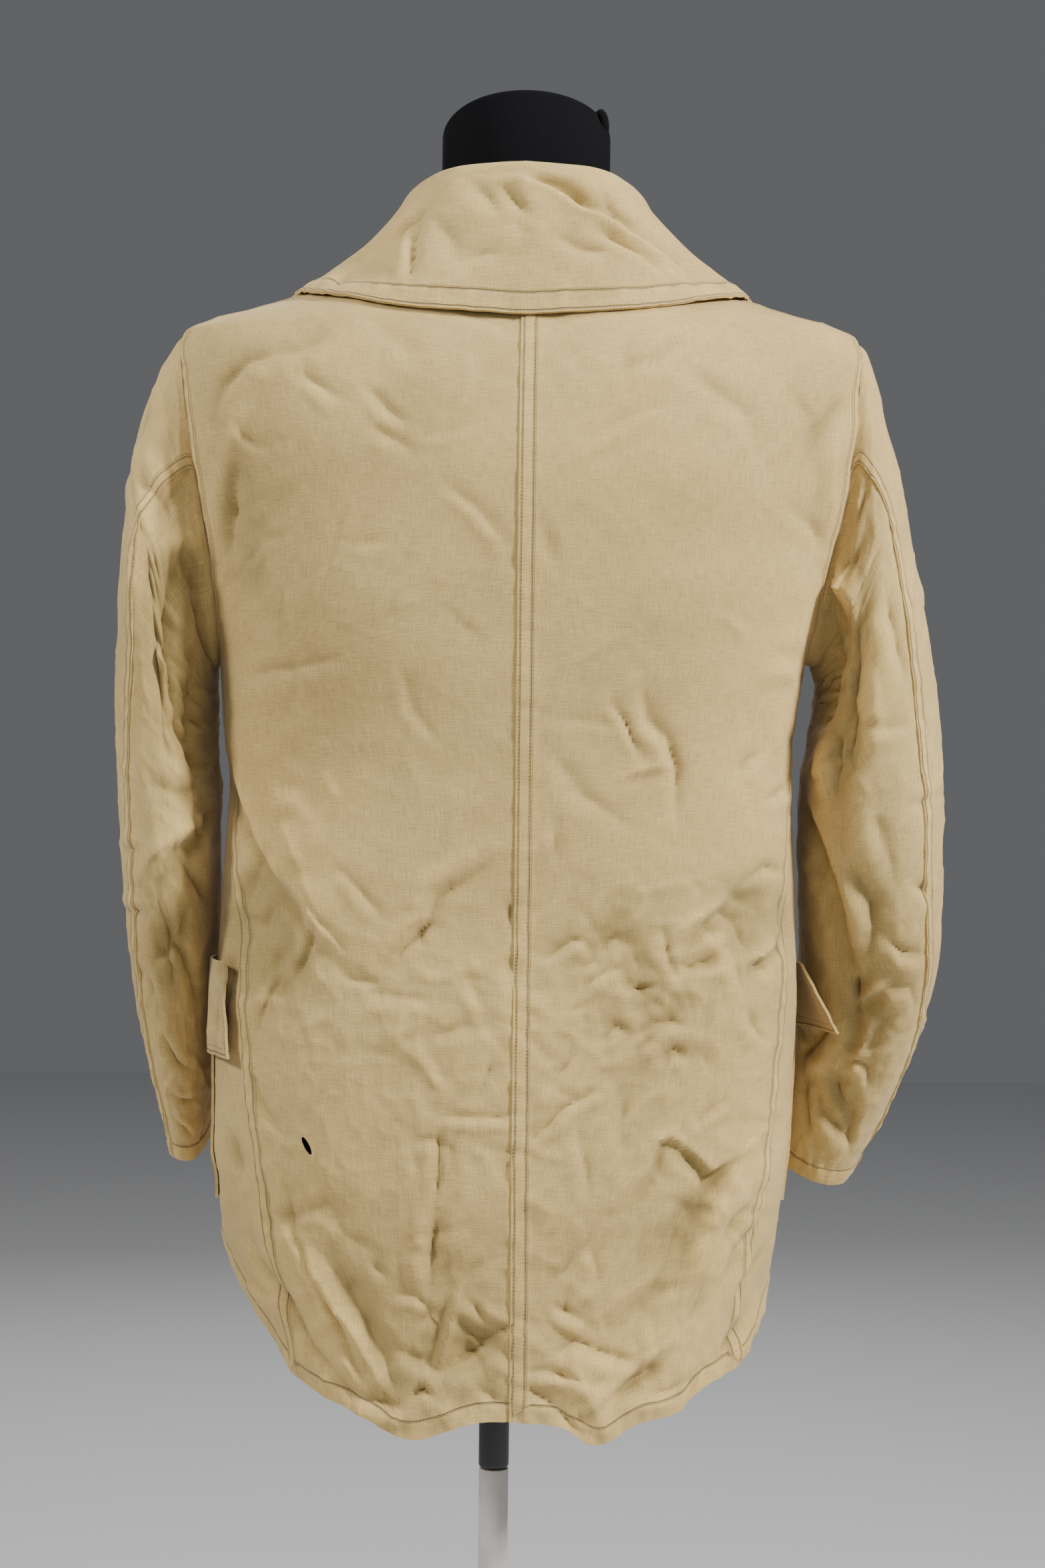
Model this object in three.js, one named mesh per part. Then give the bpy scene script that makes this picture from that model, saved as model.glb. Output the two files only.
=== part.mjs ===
// A mackinaw coat worn by a limbless dress form on a pole stand.
// Millimetres, +Z up, the floor at z = 0. The coat's front faces -Y and its back +Y, and +X is the wearer's left.
// The coat's centre back seam lies in the plane x = 0.
import * as THREE from "three";

// Driving dimensions
const CLOTH = 2.0; // lined cotton, as one wall
const COLLAR_CLOTH = 2.4;
const SEAM_GAP = 0.3;
const SHOULDER_Z = 1320; // top of the armhole
const ARMPIT_Z = 1090;
const NECK_SIDE_Z = 1381; // where the shoulder seam meets the collar
const NECK_BACK_Z = 1373;
const LAPEL_TOP_Z = 1352; // where the roll line meets the neck seam
const BREAK_Z = 1185; // where the lapel starts to turn back
const HEM_BLEND_Z = 760; // above this the rows of the cloth are level
const LAP = 62; // how far each front crosses the centre
const UNDER_LAP = 45;
const UNDER_DEPTH = 3.4; // the right front lies this far inside the left one

const RADIAN = Math.PI / 180;

// Level sections of the coat's body, hem to neck: half widths on the wearer's left and right,
// depths behind and in front of the stand's axis, and how square the section is (2 is an ellipse).
const BODY = [
  { z: 555, left: 196, right: 180, back: 153, front: 144, square: 2.3 },
  { z: 600, left: 198, right: 181, back: 152, front: 145, square: 2.3 },
  { z: 640, left: 202, right: 183, back: 150, front: 145, square: 2.3 },
  { z: 680, left: 209, right: 188, back: 148, front: 144, square: 2.35 },
  { z: 760, left: 215, right: 197, back: 142, front: 141, square: 2.4 },
  { z: 847, left: 217, right: 201, back: 133, front: 137, square: 2.4 },
  { z: 915, left: 214, right: 200, back: 126, front: 134, square: 2.4 },
  { z: 1000, left: 209, right: 196, back: 121, front: 134, square: 2.4 },
  { z: 1035, left: 213, right: 196, back: 123, front: 136, square: 2.4 },
  { z: 1090, left: 216, right: 203, back: 129, front: 139, square: 2.4 },
  { z: 1150, left: 227, right: 222, back: 133, front: 137, square: 2.45 },
  { z: 1210, left: 240, right: 240, back: 132, front: 129, square: 2.45 },
  { z: 1270, left: 249, right: 246, back: 126, front: 111, square: 2.4 },
  { z: 1300, left: 250, right: 246, back: 119, front: 98, square: 2.3 },
  { z: 1320, left: 246, right: 241, back: 110, front: 85, square: 2.2 },
  { z: 1329, left: 229, right: 223, back: 104, front: 79, square: 2.15 },
  { z: 1336, left: 203, right: 199, back: 99, front: 75, square: 2.1 },
  { z: 1343, left: 180, right: 177, back: 94, front: 72, square: 2.1 },
  { z: 1351, left: 157, right: 154, back: 89, front: 69, square: 2.05 },
  { z: 1363, left: 122, right: 120, back: 81, front: 65, square: 2.0 },
  { z: 1374, left: 94, right: 94, back: 74, front: 61, square: 2.0 },
  { z: 1383, left: 76, right: 76, back: 67, front: 58, square: 2.0 },
];

// The hem's height round the coat. The turn is 0 at the centre back, + to the wearer's left, 180 at the front.
const HEM = [
  { turn: -180, z: 650 },
  { turn: -110, z: 656 },
  { turn: -90, z: 650 },
  { turn: -72, z: 628 },
  { turn: -56, z: 601 },
  { turn: -42, z: 590 },
  { turn: -34, z: 575 },
  { turn: -25, z: 571 },
  { turn: -15, z: 558 },
  { turn: -7, z: 571 },
  { turn: 3, z: 573 },
  { turn: 17, z: 559 },
  { turn: 28, z: 574 },
  { turn: 45, z: 592 },
  { turn: 58, z: 625 },
  { turn: 74, z: 660 },
  { turn: 90, z: 675 },
  { turn: 115, z: 670 },
  { turn: 180, z: 650 },
];

// The neck seam's height round the neck, the same on both sides.
const NECK = [
  { turn: 0, z: NECK_BACK_Z },
  { turn: 40, z: 1376.5 },
  { turn: 75, z: 1380.5 },
  { turn: 90, z: NECK_SIDE_Z },
  { turn: 120, z: 1377.5 },
  { turn: 140, z: 1369 },
  { turn: 158, z: LAPEL_TOP_Z },
];

// The side seams sit towards the back, more so at the hem.
const SIDE_SEAM = [
  { z: 555, left: 45, right: 53 },
  { z: 790, left: 57, right: 64 },
  { z: 900, left: 66, right: 70 },
  { z: 1000, left: 78, right: 78 },
  { z: ARMPIT_Z, left: 88, right: 88 },
];

// The shoulder seam runs just behind the ridge of the shoulder.
const SHOULDER_SEAM = [
  { z: 1312, y: 24 },
  { z: 1329, y: 23 },
  { z: 1343, y: 20 },
  { z: 1363, y: 13 },
  { z: NECK_SIDE_Z, y: 6 },
];

// The armhole, as seen from the side.
const ARMHOLE = { y: 1, halfDepth: 52, square: 2.3 };

// The largest folds of the body, as seen from behind (side 1) or in front (side -1): a line from one end
// to the other, how wide it is, and how far it stands out (+) or sinks in (-).
const BODY_FOLDS = [
  { side: 1, x1: 178, z1: 1020, x2: 128, z2: 880, width: 26, height: 6 },
  { side: 1, x1: 196, z1: 940, x2: 160, z2: 850, width: 34, height: -8 },
  { side: 1, x1: 158, z1: 700, x2: 100, z2: 585, width: 17, height: 6 },
  { side: 1, x1: 128, z1: 690, x2: 84, z2: 600, width: 16, height: -4 },
  { side: 1, x1: 40, z1: 640, x2: 12, z2: 590, width: 18, height: -5 },
  { side: 1, x1: -60, z1: 915, x2: -110, z2: 800, width: 24, height: -4 },
  { side: 1, x1: -140, z1: 930, x2: -186, z2: 905, width: 20, height: -5 },
  { side: 1, x1: -162, z1: 760, x2: -118, z2: 640, width: 18, height: 5 },
  { side: 1, x1: -128, z1: 750, x2: -92, z2: 650, width: 18, height: -4 },
  { side: 1, x1: -40, z1: 618, x2: -62, z2: 560, width: 22, height: 6 },
  { side: 1, x1: -196, z1: 1140, x2: -176, z2: 1010, width: 24, height: 4 },
  { side: 1, x1: 205, z1: 1230, x2: 180, z2: 1120, width: 22, height: -5 },
  { side: -1, x1: 150, z1: 1180, x2: 70, z2: 1020, width: 26, height: 5 },
  { side: -1, x1: -150, z1: 1180, x2: -90, z2: 1030, width: 26, height: 4 },
  { side: -1, x1: 170, z1: 720, x2: 120, z2: 660, width: 24, height: 5 },
  { side: -1, x1: -160, z1: 740, x2: -120, z2: 655, width: 24, height: 5 },
];

// Sections of each sleeve, armhole to cuff. Each has an outer and an inner point in the plane of the shoulders,
// the middle and half depth from front to back, and a pitch that turns the section as the sleeve swings forward.
const LEFT_SLEEVE = [
  { outX: 252, outZ: 1320, inX: 221, inZ: 1089, y: 1, halfDepth: 53, pitch: 0 },
  { outX: 261, outZ: 1304, inX: 221.5, inZ: 1085, y: 1, halfDepth: 59, pitch: 0 },
  { outX: 274, outZ: 1268, inX: 222.5, inZ: 1079, y: 1, halfDepth: 66, pitch: 0 },
  { outX: 282, outZ: 1225, inX: 223, inZ: 1068, y: 0, halfDepth: 74, pitch: 0 },
  { outX: 287, outZ: 1174, inX: 223, inZ: 1050, y: -1, halfDepth: 80, pitch: 1 },
  { outX: 290, outZ: 1118, inX: 222, inZ: 1024, y: -5, halfDepth: 83, pitch: 3 },
  { outX: 292, outZ: 1062, inX: 221, inZ: 992, y: -10, halfDepth: 84, pitch: 5 },
  { outX: 291, outZ: 1008, inX: 221, inZ: 955, y: -16, halfDepth: 83, pitch: 7 },
  { outX: 288, outZ: 958, inX: 222, inZ: 917, y: -23, halfDepth: 81, pitch: 9 },
  { outX: 286, outZ: 912, inX: 223, inZ: 880, y: -32, halfDepth: 77, pitch: 12 },
  { outX: 283, outZ: 868, inX: 224, inZ: 842, y: -43, halfDepth: 72, pitch: 14 },
  { outX: 277, outZ: 826, inX: 226, inZ: 806, y: -55, halfDepth: 67, pitch: 16 },
  { outX: 269, outZ: 786, inX: 229, inZ: 772, y: -69, halfDepth: 63, pitch: 17 },
  { outX: 260, outZ: 742, inX: 232, inZ: 735, y: -86, halfDepth: 59, pitch: 18 },
];
const RIGHT_SLEEVE = [
  { outX: 249, outZ: 1320, inX: 218, inZ: 1089, y: 1, halfDepth: 53, pitch: 0 },
  { outX: 258, outZ: 1303, inX: 224, inZ: 1086, y: 1, halfDepth: 59, pitch: 0 },
  { outX: 262, outZ: 1266, inX: 217, inZ: 1081, y: 1, halfDepth: 66, pitch: 0 },
  { outX: 271, outZ: 1226, inX: 217, inZ: 1071, y: 0, halfDepth: 73, pitch: 0 },
  { outX: 281, outZ: 1176, inX: 215, inZ: 1054, y: -1, halfDepth: 78, pitch: 1 },
  { outX: 293, outZ: 1118, inX: 211, inZ: 1030, y: -4, halfDepth: 80, pitch: 2 },
  { outX: 302, outZ: 1060, inX: 207, inZ: 1000, y: -9, halfDepth: 80, pitch: 4 },
  { outX: 308, outZ: 1004, inX: 206, inZ: 966, y: -15, halfDepth: 79, pitch: 6 },
  { outX: 310, outZ: 948, inX: 208, inZ: 928, y: -26, halfDepth: 76, pitch: 10 },
  { outX: 312, outZ: 892, inX: 211, inZ: 890, y: -42, halfDepth: 72, pitch: 15 },
  { outX: 306, outZ: 842, inX: 212, inZ: 850, y: -62, halfDepth: 68, pitch: 18 },
  { outX: 293, outZ: 798, inX: 210, inZ: 812, y: -82, halfDepth: 64, pitch: 19 },
  { outX: 277, outZ: 758, inX: 204, inZ: 774, y: -100, halfDepth: 61, pitch: 20 },
  { outX: 258, outZ: 716, inX: 196, inZ: 732, y: -117, halfDepth: 58, pitch: 20 },
];
const SLEEVE_SQUARE = 2.25;
const ARMHOLE_EASE = 1.6; // the sleeve's first edge stands this far outside the armhole
const ARMHOLE_BLEND = 3; // sections over which the armhole's own outline fades into the sleeve's

// Where the seams run along a sleeve, as turns round it: 0 is the outer side, 90 the back, -90 the front.
const SLEEVE_SEAMS = [
  { at: 0, left: 86, right: 86, front: -118 },
  { at: 1.5, left: 80, right: 75, front: -116 },
  { at: 3, left: 68, right: 62, front: -114 },
  { at: 5, left: 66, right: 62, front: -112 },
  { at: 9, left: 60, right: 52, front: -110 },
  { at: 11, left: 62, right: 38, front: -109 },
  { at: 13, left: 74, right: 24, front: -108 },
];

// The sleeves' largest folds: from one place to another, along the sleeve in sections and round it in degrees.
const SLEEVE_FOLDS = [
  { sleeve: 1, at1: 3.2, turn1: 78, at2: 5.6, turn2: 100, width: 20, height: -9 },
  { sleeve: 1, at1: 2.2, turn1: 70, at2: 4.8, turn2: 62, width: 16, height: 6 },
  { sleeve: 1, at1: 8.2, turn1: 130, at2: 9.4, turn2: 80, width: 20, height: -6 },
  { sleeve: 1, at1: 3.2, turn1: -70, at2: 6.0, turn2: -100, width: 22, height: -6 },
  { sleeve: 1, at1: 8.0, turn1: -60, at2: 9.0, turn2: -120, width: 20, height: -6 },
  { sleeve: -1, at1: 3.0, turn1: 112, at2: 6.2, turn2: 118, width: 20, height: -10 },
  { sleeve: -1, at1: 3.6, turn1: 92, at2: 6.0, turn2: 96, width: 18, height: 6 },
  { sleeve: -1, at1: 8.6, turn1: 128, at2: 10.6, turn2: 84, width: 20, height: -8 },
  { sleeve: -1, at1: 10.8, turn1: 122, at2: 12.2, turn2: 70, width: 17, height: -6 },
  { sleeve: -1, at1: 3.2, turn1: -70, at2: 6.0, turn2: -100, width: 22, height: -6 },
  { sleeve: -1, at1: 8.6, turn1: -50, at2: 9.6, turn2: -120, width: 20, height: -7 },
];

// The collar round the neck: its turn, where its roll lies, where its edge lies on the body below, and how
// far the fall between them bulges on each side.
const COLLAR = [
  { turn: 0, rollX: 0, rollY: 89, rollZ: 1431, edgeTurn: 0, edgeZ: 1320, left: 3, right: 3 },
  { turn: 30, rollX: 45, rollY: 77, rollZ: 1430, edgeTurn: 16, edgeZ: 1325, left: 0, right: 1 },
  { turn: 60, rollX: 73, rollY: 44, rollZ: 1426, edgeTurn: 42, edgeZ: 1338, left: -8, right: -3 },
  { turn: 90, rollX: 91, rollY: 2, rollZ: 1408, edgeTurn: 82, edgeZ: 1348, left: -1, right: 0 },
  { turn: 116, rollX: 90, rollY: -38, rollZ: 1389, edgeTurn: 126, edgeZ: 1340, left: 2, right: 2 },
  { turn: 140, rollX: 76, rollY: -70, rollZ: 1366, edgeTurn: 145, edgeZ: 1322, left: 2, right: 2 },
];
const COLLAR_END = 140;
const COLLAR_NECK_TURN = 156; // where on the body's neck seam the collar ends
const COLLAR_REST = 3.4; // the collar's middle, above the cloth below its edge
const NECK_REST = 2.4;
// The collar's profile: how far from the stand's foot (0) over the roll to the edge (1).
const COLLAR_STEPS = [0, 0.15, 0.3, 0.345, 0.38, 0.415, 0.46, 0.59, 0.72, 0.86, 1];

const LAPEL = { bottomZ: 1200, underBottomZ: 1280, topZ: 1335, widestCols: 4.2, drop: 30, rise: 3.0 };
// Columns of the front's own grid. The pockets lie on it and the flaps lie on the pockets.
const POCKET = { bottomZ: 702, topZ: 866, innerCol: 4, rearCol: 11.7, cols: 8, rise: 2.8 };
const FLAP = { bottomZ: 810, topZ: 872, innerCol: 4, rearCol: 11.7, cols: 8, rise: 5.3 };
const FLAP_FLARE = { left: 6, right: 24 }; // how far the rear corner of each flap stands off
const BUTTON = { radius: 14.5, thickness: 4.2, rim: 2.2, x: 46, rows: [1150, 1040, 930] };

const STAND_X = 13; // the pole stands this far to the wearer's left of the centre back seam
const FORM = { bottomZ: 706, topZ: 1360, shoulderHalf: 196, ease: 2.8 };
const NECK_FORM = { halfWidth: 61, halfDepth: 60, y: 2, bottomZ: 1360.4, frontZ: 1453, backZ: 1490, edge: 7 };
const STAND = { poleRadius: 10.7, sleeveRadius: 11, sleeveBottomZ: 503, baseRadius: 200, baseThickness: 10 };

// A smooth curve through one column of a table: it overshoots nowhere.
function column(rows, input, output) {
  const x = rows.map((row) => row[input]);
  const y = rows.map((row) => row[output]);
  const last = x.length - 1;
  const rise = [];
  for (let i = 0; i < last; i++) rise.push((y[i + 1] - y[i]) / (x[i + 1] - x[i]));
  const slope = x.map((_, i) => {
    if (i === 0) return rise[0];
    if (i === last) return rise[last - 1];
    if (rise[i - 1] * rise[i] <= 0) return 0;
    return (2 * rise[i - 1] * rise[i]) / (rise[i - 1] + rise[i]);
  });
  return (at) => {
    const t = Math.min(Math.max(at, x[0]), x[last]);
    let i = 0;
    while (i < last - 1 && t > x[i + 1]) i++;
    const span = x[i + 1] - x[i];
    const u = (t - x[i]) / span;
    const u2 = u * u;
    const u3 = u2 * u;
    return (
      (2 * u3 - 3 * u2 + 1) * y[i] +
      (u3 - 2 * u2 + u) * span * slope[i] +
      (3 * u2 - 2 * u3) * y[i + 1] +
      (u3 - u2) * span * slope[i + 1]
    );
  };
}

// A smooth curve for each named column of a table.
function columns(rows, input) {
  const made = {};
  for (const name of Object.keys(rows[0])) if (name !== input) made[name] = column(rows, input, name);
  return made;
}

const mix = (a, b, t) => a + (b - a) * t;
const clamp01 = (t) => Math.min(Math.max(t, 0), 1);
const smooth = (a, b, t) => {
  const u = clamp01((t - a) / (b - a));
  return u * u * (3 - 2 * u);
};
const power = (value, exponent) => Math.sign(value) * Math.abs(value) ** exponent;

const body = columns(BODY, "z");
const hemZ = column(HEM, "turn", "z");
const neckZ = column(NECK, "turn", "z");
const sideSeam = columns(SIDE_SEAM, "z");
const shoulderSeamY = column(SHOULDER_SEAM, "z", "y");

// How far a point on a line of folds is moved out. Each fold is a soft ridge or trough that fades at its ends.
function foldHeight(folds, along, across, keys) {
  let sum = 0;
  for (const fold of folds) {
    const [a1, c1, a2, c2] = keys.map((key) => fold[key]);
    const da = a2 - a1;
    const dc = c2 - c1;
    const t = ((along - a1) * da + (across - c1) * dc) / (da * da + dc * dc);
    const held = clamp01(t);
    const off = Math.hypot(along - mix(a1, a2, held), across - mix(c1, c2, held));
    sum += fold.height * Math.exp(-((off / fold.width) ** 2)) * (0.55 + 0.45 * Math.sin(Math.PI * held));
  }
  return sum;
}

// A point of the body's surface without folds, at a turn round the body and a height.
function plainBody(turn, z) {
  const s = Math.sin(turn * RADIAN);
  const c = Math.cos(turn * RADIAN);
  const exponent = 2 / body.square(z);
  const half = s >= 0 ? body.left(z) : body.right(z);
  const depth = c >= 0 ? body.back(z) : body.front(z);
  return new THREE.Vector3(half * power(s, exponent), depth * power(c, exponent), z);
}

// The turn at which the body's section at a height has a given x or y.
function turnOfX(x, z, front) {
  const half = x >= 0 ? body.left(z) : body.right(z);
  const turn = Math.asin(clamp01(Math.abs(x) / half) ** (body.square(z) / 2)) / RADIAN;
  return Math.sign(x || 1) * (front ? 180 - turn : turn);
}
function turnOfY(y, z) {
  const depth = y >= 0 ? body.back(z) : body.front(z);
  const turn = Math.acos(clamp01(Math.abs(y) / depth) ** (body.square(z) / 2)) / RADIAN;
  return y >= 0 ? turn : 180 - turn;
}

const FINITE = 0.5; // step for measuring a surface's direction

function normalOf(surface, u, v, du, dv) {
  const across = surface(u + du, v).sub(surface(u - du, v));
  const along = surface(u, v + dv).sub(surface(u, v - dv));
  return along.cross(across).normalize();
}

// The body's surface with its folds, moved out by a distance.
const backFolds = BODY_FOLDS.filter((fold) => fold.side > 0);
const frontFolds = BODY_FOLDS.filter((fold) => fold.side < 0);
const FOLD_FADE = 45;
function bodyPoint(turn, z, out = 0) {
  const point = plainBody(turn, z);
  const normal = normalOf(plainBody, turn, z, FINITE, FINITE);
  const folds = point.y > 0 ? backFolds : frontFolds;
  const fade = smooth(0, FOLD_FADE, Math.abs(point.y)) * (1 - smooth(1290, 1320, z));
  const fold = foldHeight(folds, point.x, point.z, ["x1", "z1", "x2", "z2"]) * fade;
  return point.addScaledVector(normal, out + fold);
}

// A point of the armhole: 0 is its top, 90 its back edge, 180 the armpit. Side is 1 for the wearer's left.
function armholePoint(turn, side) {
  const exponent = 2 / ARMHOLE.square;
  const middle = (SHOULDER_Z + ARMPIT_Z) / 2;
  const z = middle + (SHOULDER_Z - middle) * power(Math.cos(turn * RADIAN), exponent);
  const y = ARMHOLE.y + ARMHOLE.halfDepth * power(Math.sin(turn * RADIAN), exponent);
  return { turn: side * turnOfY(y, z), z };
}

// A wall of cloth over a grid of places. Place gives a point and its outward direction.
function wall(rows, cols, thickness, place) {
  const positions = [];
  const stride = cols + 1;
  for (const side of [1, -1]) {
    for (let i = 0; i <= rows; i++) {
      for (let j = 0; j <= cols; j++) {
        const { point, normal } = place(i / rows, j / cols, i, j);
        const moved = point.clone().addScaledVector(normal, (side * thickness) / 2);
        positions.push(moved.x, moved.y, moved.z);
      }
    }
  }
  const layer = (rows + 1) * stride;
  const outer = (i, j) => i * stride + j;
  const inner = (i, j) => layer + i * stride + j;
  const index = [];
  const quad = (a, b, c, d) => index.push(a, b, c, a, c, d);
  for (let i = 0; i < rows; i++) {
    for (let j = 0; j < cols; j++) {
      quad(outer(i, j), outer(i, j + 1), outer(i + 1, j + 1), outer(i + 1, j));
      quad(inner(i, j), inner(i + 1, j), inner(i + 1, j + 1), inner(i, j + 1));
    }
  }
  for (let j = 0; j < cols; j++) {
    quad(outer(0, j), inner(0, j), inner(0, j + 1), outer(0, j + 1));
    quad(outer(rows, j), outer(rows, j + 1), inner(rows, j + 1), inner(rows, j));
  }
  for (let i = 0; i < rows; i++) {
    quad(outer(i, 0), outer(i + 1, 0), inner(i + 1, 0), inner(i, 0));
    quad(outer(i, cols), inner(i, cols), inner(i + 1, cols), outer(i + 1, cols));
  }
  return facingOut(positions, index);
}

// A closed geometry with its faces turned outwards.
function facingOut(positions, index) {
  let volume = 0;
  const at = (k) => new THREE.Vector3(positions[3 * k], positions[3 * k + 1], positions[3 * k + 2]);
  for (let k = 0; k < index.length; k += 3) {
    volume += at(index[k]).dot(at(index[k + 1]).cross(at(index[k + 2])));
  }
  if (volume < 0) {
    for (let k = 0; k < index.length; k += 3) [index[k + 1], index[k + 2]] = [index[k + 2], index[k + 1]];
  }
  const geometry = new THREE.BufferGeometry();
  geometry.setAttribute("position", new THREE.Float32BufferAttribute(positions, 3));
  geometry.setIndex(index);
  return geometry;
}

// The armhole's corners, as turns. The sleeves' columns and the panels' rows meet at these, so their walls agree.
const FRONT_SEAM_TURN = -118;
const BACK_SEAM_TURN = 86;
const TOP_COLS = 10;
const UNDER_BACK_COLS = 5;
const UNDER_FRONT_COLS = 3;
const SHOULDER_COL = 7;
const topTurn = (col) => mix(FRONT_SEAM_TURN, BACK_SEAM_TURN, col / TOP_COLS);
const TOP_TURNS = Array.from({ length: TOP_COLS + 1 }, (_, col) => topTurn(col));
const UNDER_TURNS = [
  ...Array.from({ length: UNDER_BACK_COLS }, (_, col) => mix(BACK_SEAM_TURN, 180, col / UNDER_BACK_COLS)),
  ...Array.from({ length: UNDER_FRONT_COLS + 1 }, (_, col) => mix(180, FRONT_SEAM_TURN + 360, col / UNDER_FRONT_COLS)),
];
const backTurns = [
  ...UNDER_TURNS.slice(0, UNDER_BACK_COLS + 1).reverse(),
  ...TOP_TURNS.slice(SHOULDER_COL, TOP_COLS).reverse(),
];
const frontTurns = [
  ...UNDER_TURNS.slice(UNDER_BACK_COLS).map((turn) => turn - 360),
  ...TOP_TURNS.slice(1, SHOULDER_COL + 1),
];

// Rows of a panel, bottom to top: down to the armpit, along the armhole, and along the shoulder.
const SKIRT_ROWS = 14;
const SHOULDER_ROWS = 5;
const BACK = { turns: backTurns, rows: SKIRT_ROWS + backTurns.length - 1 + SHOULDER_ROWS };
const FRONT = { turns: frontTurns, rows: SKIRT_ROWS + frontTurns.length - 1 + SHOULDER_ROWS };

// A panel's outer edge: the side seam, the armhole and the shoulder seam.
const HEM_SIDE_Z = 590;
function outerEdge(row, side, panel) {
  const seam = side > 0 ? sideSeam.left : sideSeam.right;
  if (row <= SKIRT_ROWS) {
    const z = mix(hemZ(side * seam(HEM_SIDE_Z)), ARMPIT_Z, row / SKIRT_ROWS);
    return { turn: side * seam(z), z };
  }
  const at = row - SKIRT_ROWS;
  if (at < panel.turns.length) return armholePoint(panel.turns[at], side);
  const start = armholePoint(topTurn(SHOULDER_COL), side).z;
  const z = mix(start, NECK_SIDE_Z, ((row - panel.rows) / SHOULDER_ROWS + 1) ** 0.9);
  return { turn: side * turnOfY(shoulderSeamY(z), z), z };
}

// A back panel's inner edge is the centre back seam.
const ARMHOLE_TOP_BACK_Z = 1292;
function centreBack(row) {
  return { turn: 0, z: rowHeight(row, BACK, [hemZ(0), ARMPIT_Z, ARMHOLE_TOP_BACK_Z, NECK_BACK_Z]) };
}

// A front's inner edge: its straight front edge, then the roll line up to the neck.
const FRONT_MARKS = [1080, 1296, LAPEL_TOP_Z];
const ROLL_TOP_X = 66;
function frontEdge(row, side) {
  const z = rowHeight(row, FRONT, [hemZ(180), ...FRONT_MARKS]);
  return { turn: side * turnOfAcross(rollX(z, side), z), z };
}

// How far the front edge or the roll line lies from the centre, towards the front's own side.
function rollX(z, side) {
  const roll = mix(-LAP, ROLL_TOP_X, clamp01((z - BREAK_Z) / (LAPEL_TOP_Z - BREAK_Z)));
  return side > 0 ? roll : Math.max(roll, -UNDER_LAP);
}
function turnOfAcross(x, z) {
  const away = turnOfX(Math.abs(x), z, true);
  return x >= 0 ? away : 360 - away;
}

function rowHeight(row, panel, marks) {
  const armholeEnd = panel.rows - SHOULDER_ROWS;
  if (row <= SKIRT_ROWS) return mix(marks[0], marks[1], row / SKIRT_ROWS);
  if (row <= armholeEnd) return mix(marks[1], marks[2], (row - SKIRT_ROWS) / (armholeEnd - SKIRT_ROWS));
  return mix(marks[2], marks[3], (row - armholeEnd) / SHOULDER_ROWS);
}

// A body panel between two edges, as a grid of places. Its bottom row follows the hem and its top row the neck.
function bodyPanel(panel, cols, side, inner, depthOf) {
  const armholeEnd = panel.rows - SHOULDER_ROWS;
  const edges = (row) => [inner(row, side), outerEdge(row, side, panel)];
  const grid = [];
  for (let row = 0; row <= panel.rows; row++) {
    const [a, b] = edges(row);
    const inset = SEAM_GAP / 2 / plainBody(a.turn, a.z).distanceTo(plainBody(b.turn, b.z));
    const hemShare = 1 - smooth(0, SKIRT_ROWS * 0.45, row);
    const neckShare = smooth(armholeEnd, panel.rows, row);
    const line = [];
    for (let col = 0; col <= cols; col++) {
      const s = mix(inset, 1 - inset, col / cols);
      const turn = mix(a.turn, b.turn, s);
      const wrapped = turn > 180 ? turn - 360 : turn < -180 ? turn + 360 : turn;
      const atHem = mix(edges(0)[0].z, edges(0)[1].z, s);
      const atNeck = mix(edges(panel.rows)[0].z, edges(panel.rows)[1].z, s);
      const toHem = hemShare * (hemZ(wrapped) - atHem);
      const toNeck = neckShare * (neckZ(Math.abs(wrapped)) - atNeck);
      const z = mix(a.z, b.z, s) + toHem + toNeck;
      const out = depthOf(Math.abs(turn));
      const lifted = (t, h) => bodyPoint(t, h, out);
      line.push({ point: lifted(turn, z), normal: normalOf(lifted, turn, z, FINITE, FINITE) });
    }
    grid.push(line);
  }
  return grid;
}
const gridWall = (grid, thickness) =>
  wall(grid.length - 1, grid[0].length - 1, thickness, (_, __, row, col) => grid[row][col]);

// A place between the points of a grid, moved out.
function onGrid(grid, row, col, out) {
  const i = Math.min(Math.floor(row), grid.length - 2);
  const j = Math.min(Math.floor(col), grid[0].length - 2);
  const u = row - i;
  const v = col - j;
  const blend = (name) => {
    const low = grid[i][j][name].clone().lerp(grid[i][j + 1][name], v);
    return low.lerp(grid[i + 1][j][name].clone().lerp(grid[i + 1][j + 1][name], v), u);
  };
  const normal = blend("normal").normalize();
  return { point: blend("point").addScaledVector(normal, out), normal };
}

const underLap = (side) => (turn) => (side > 0 ? 0 : -UNDER_DEPTH * smooth(140, 158, turn));

// The sleeves
const SLEEVE_ROWS = 18;
const sleeveTables = { 1: sleeveColumns(LEFT_SLEEVE), "-1": sleeveColumns(RIGHT_SLEEVE) };
const sleeveSeams = columns(SLEEVE_SEAMS, "at");
function sleeveColumns(rows) {
  return columns(rows.map((row, at) => ({ at, ...row })), "at");
}

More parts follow.
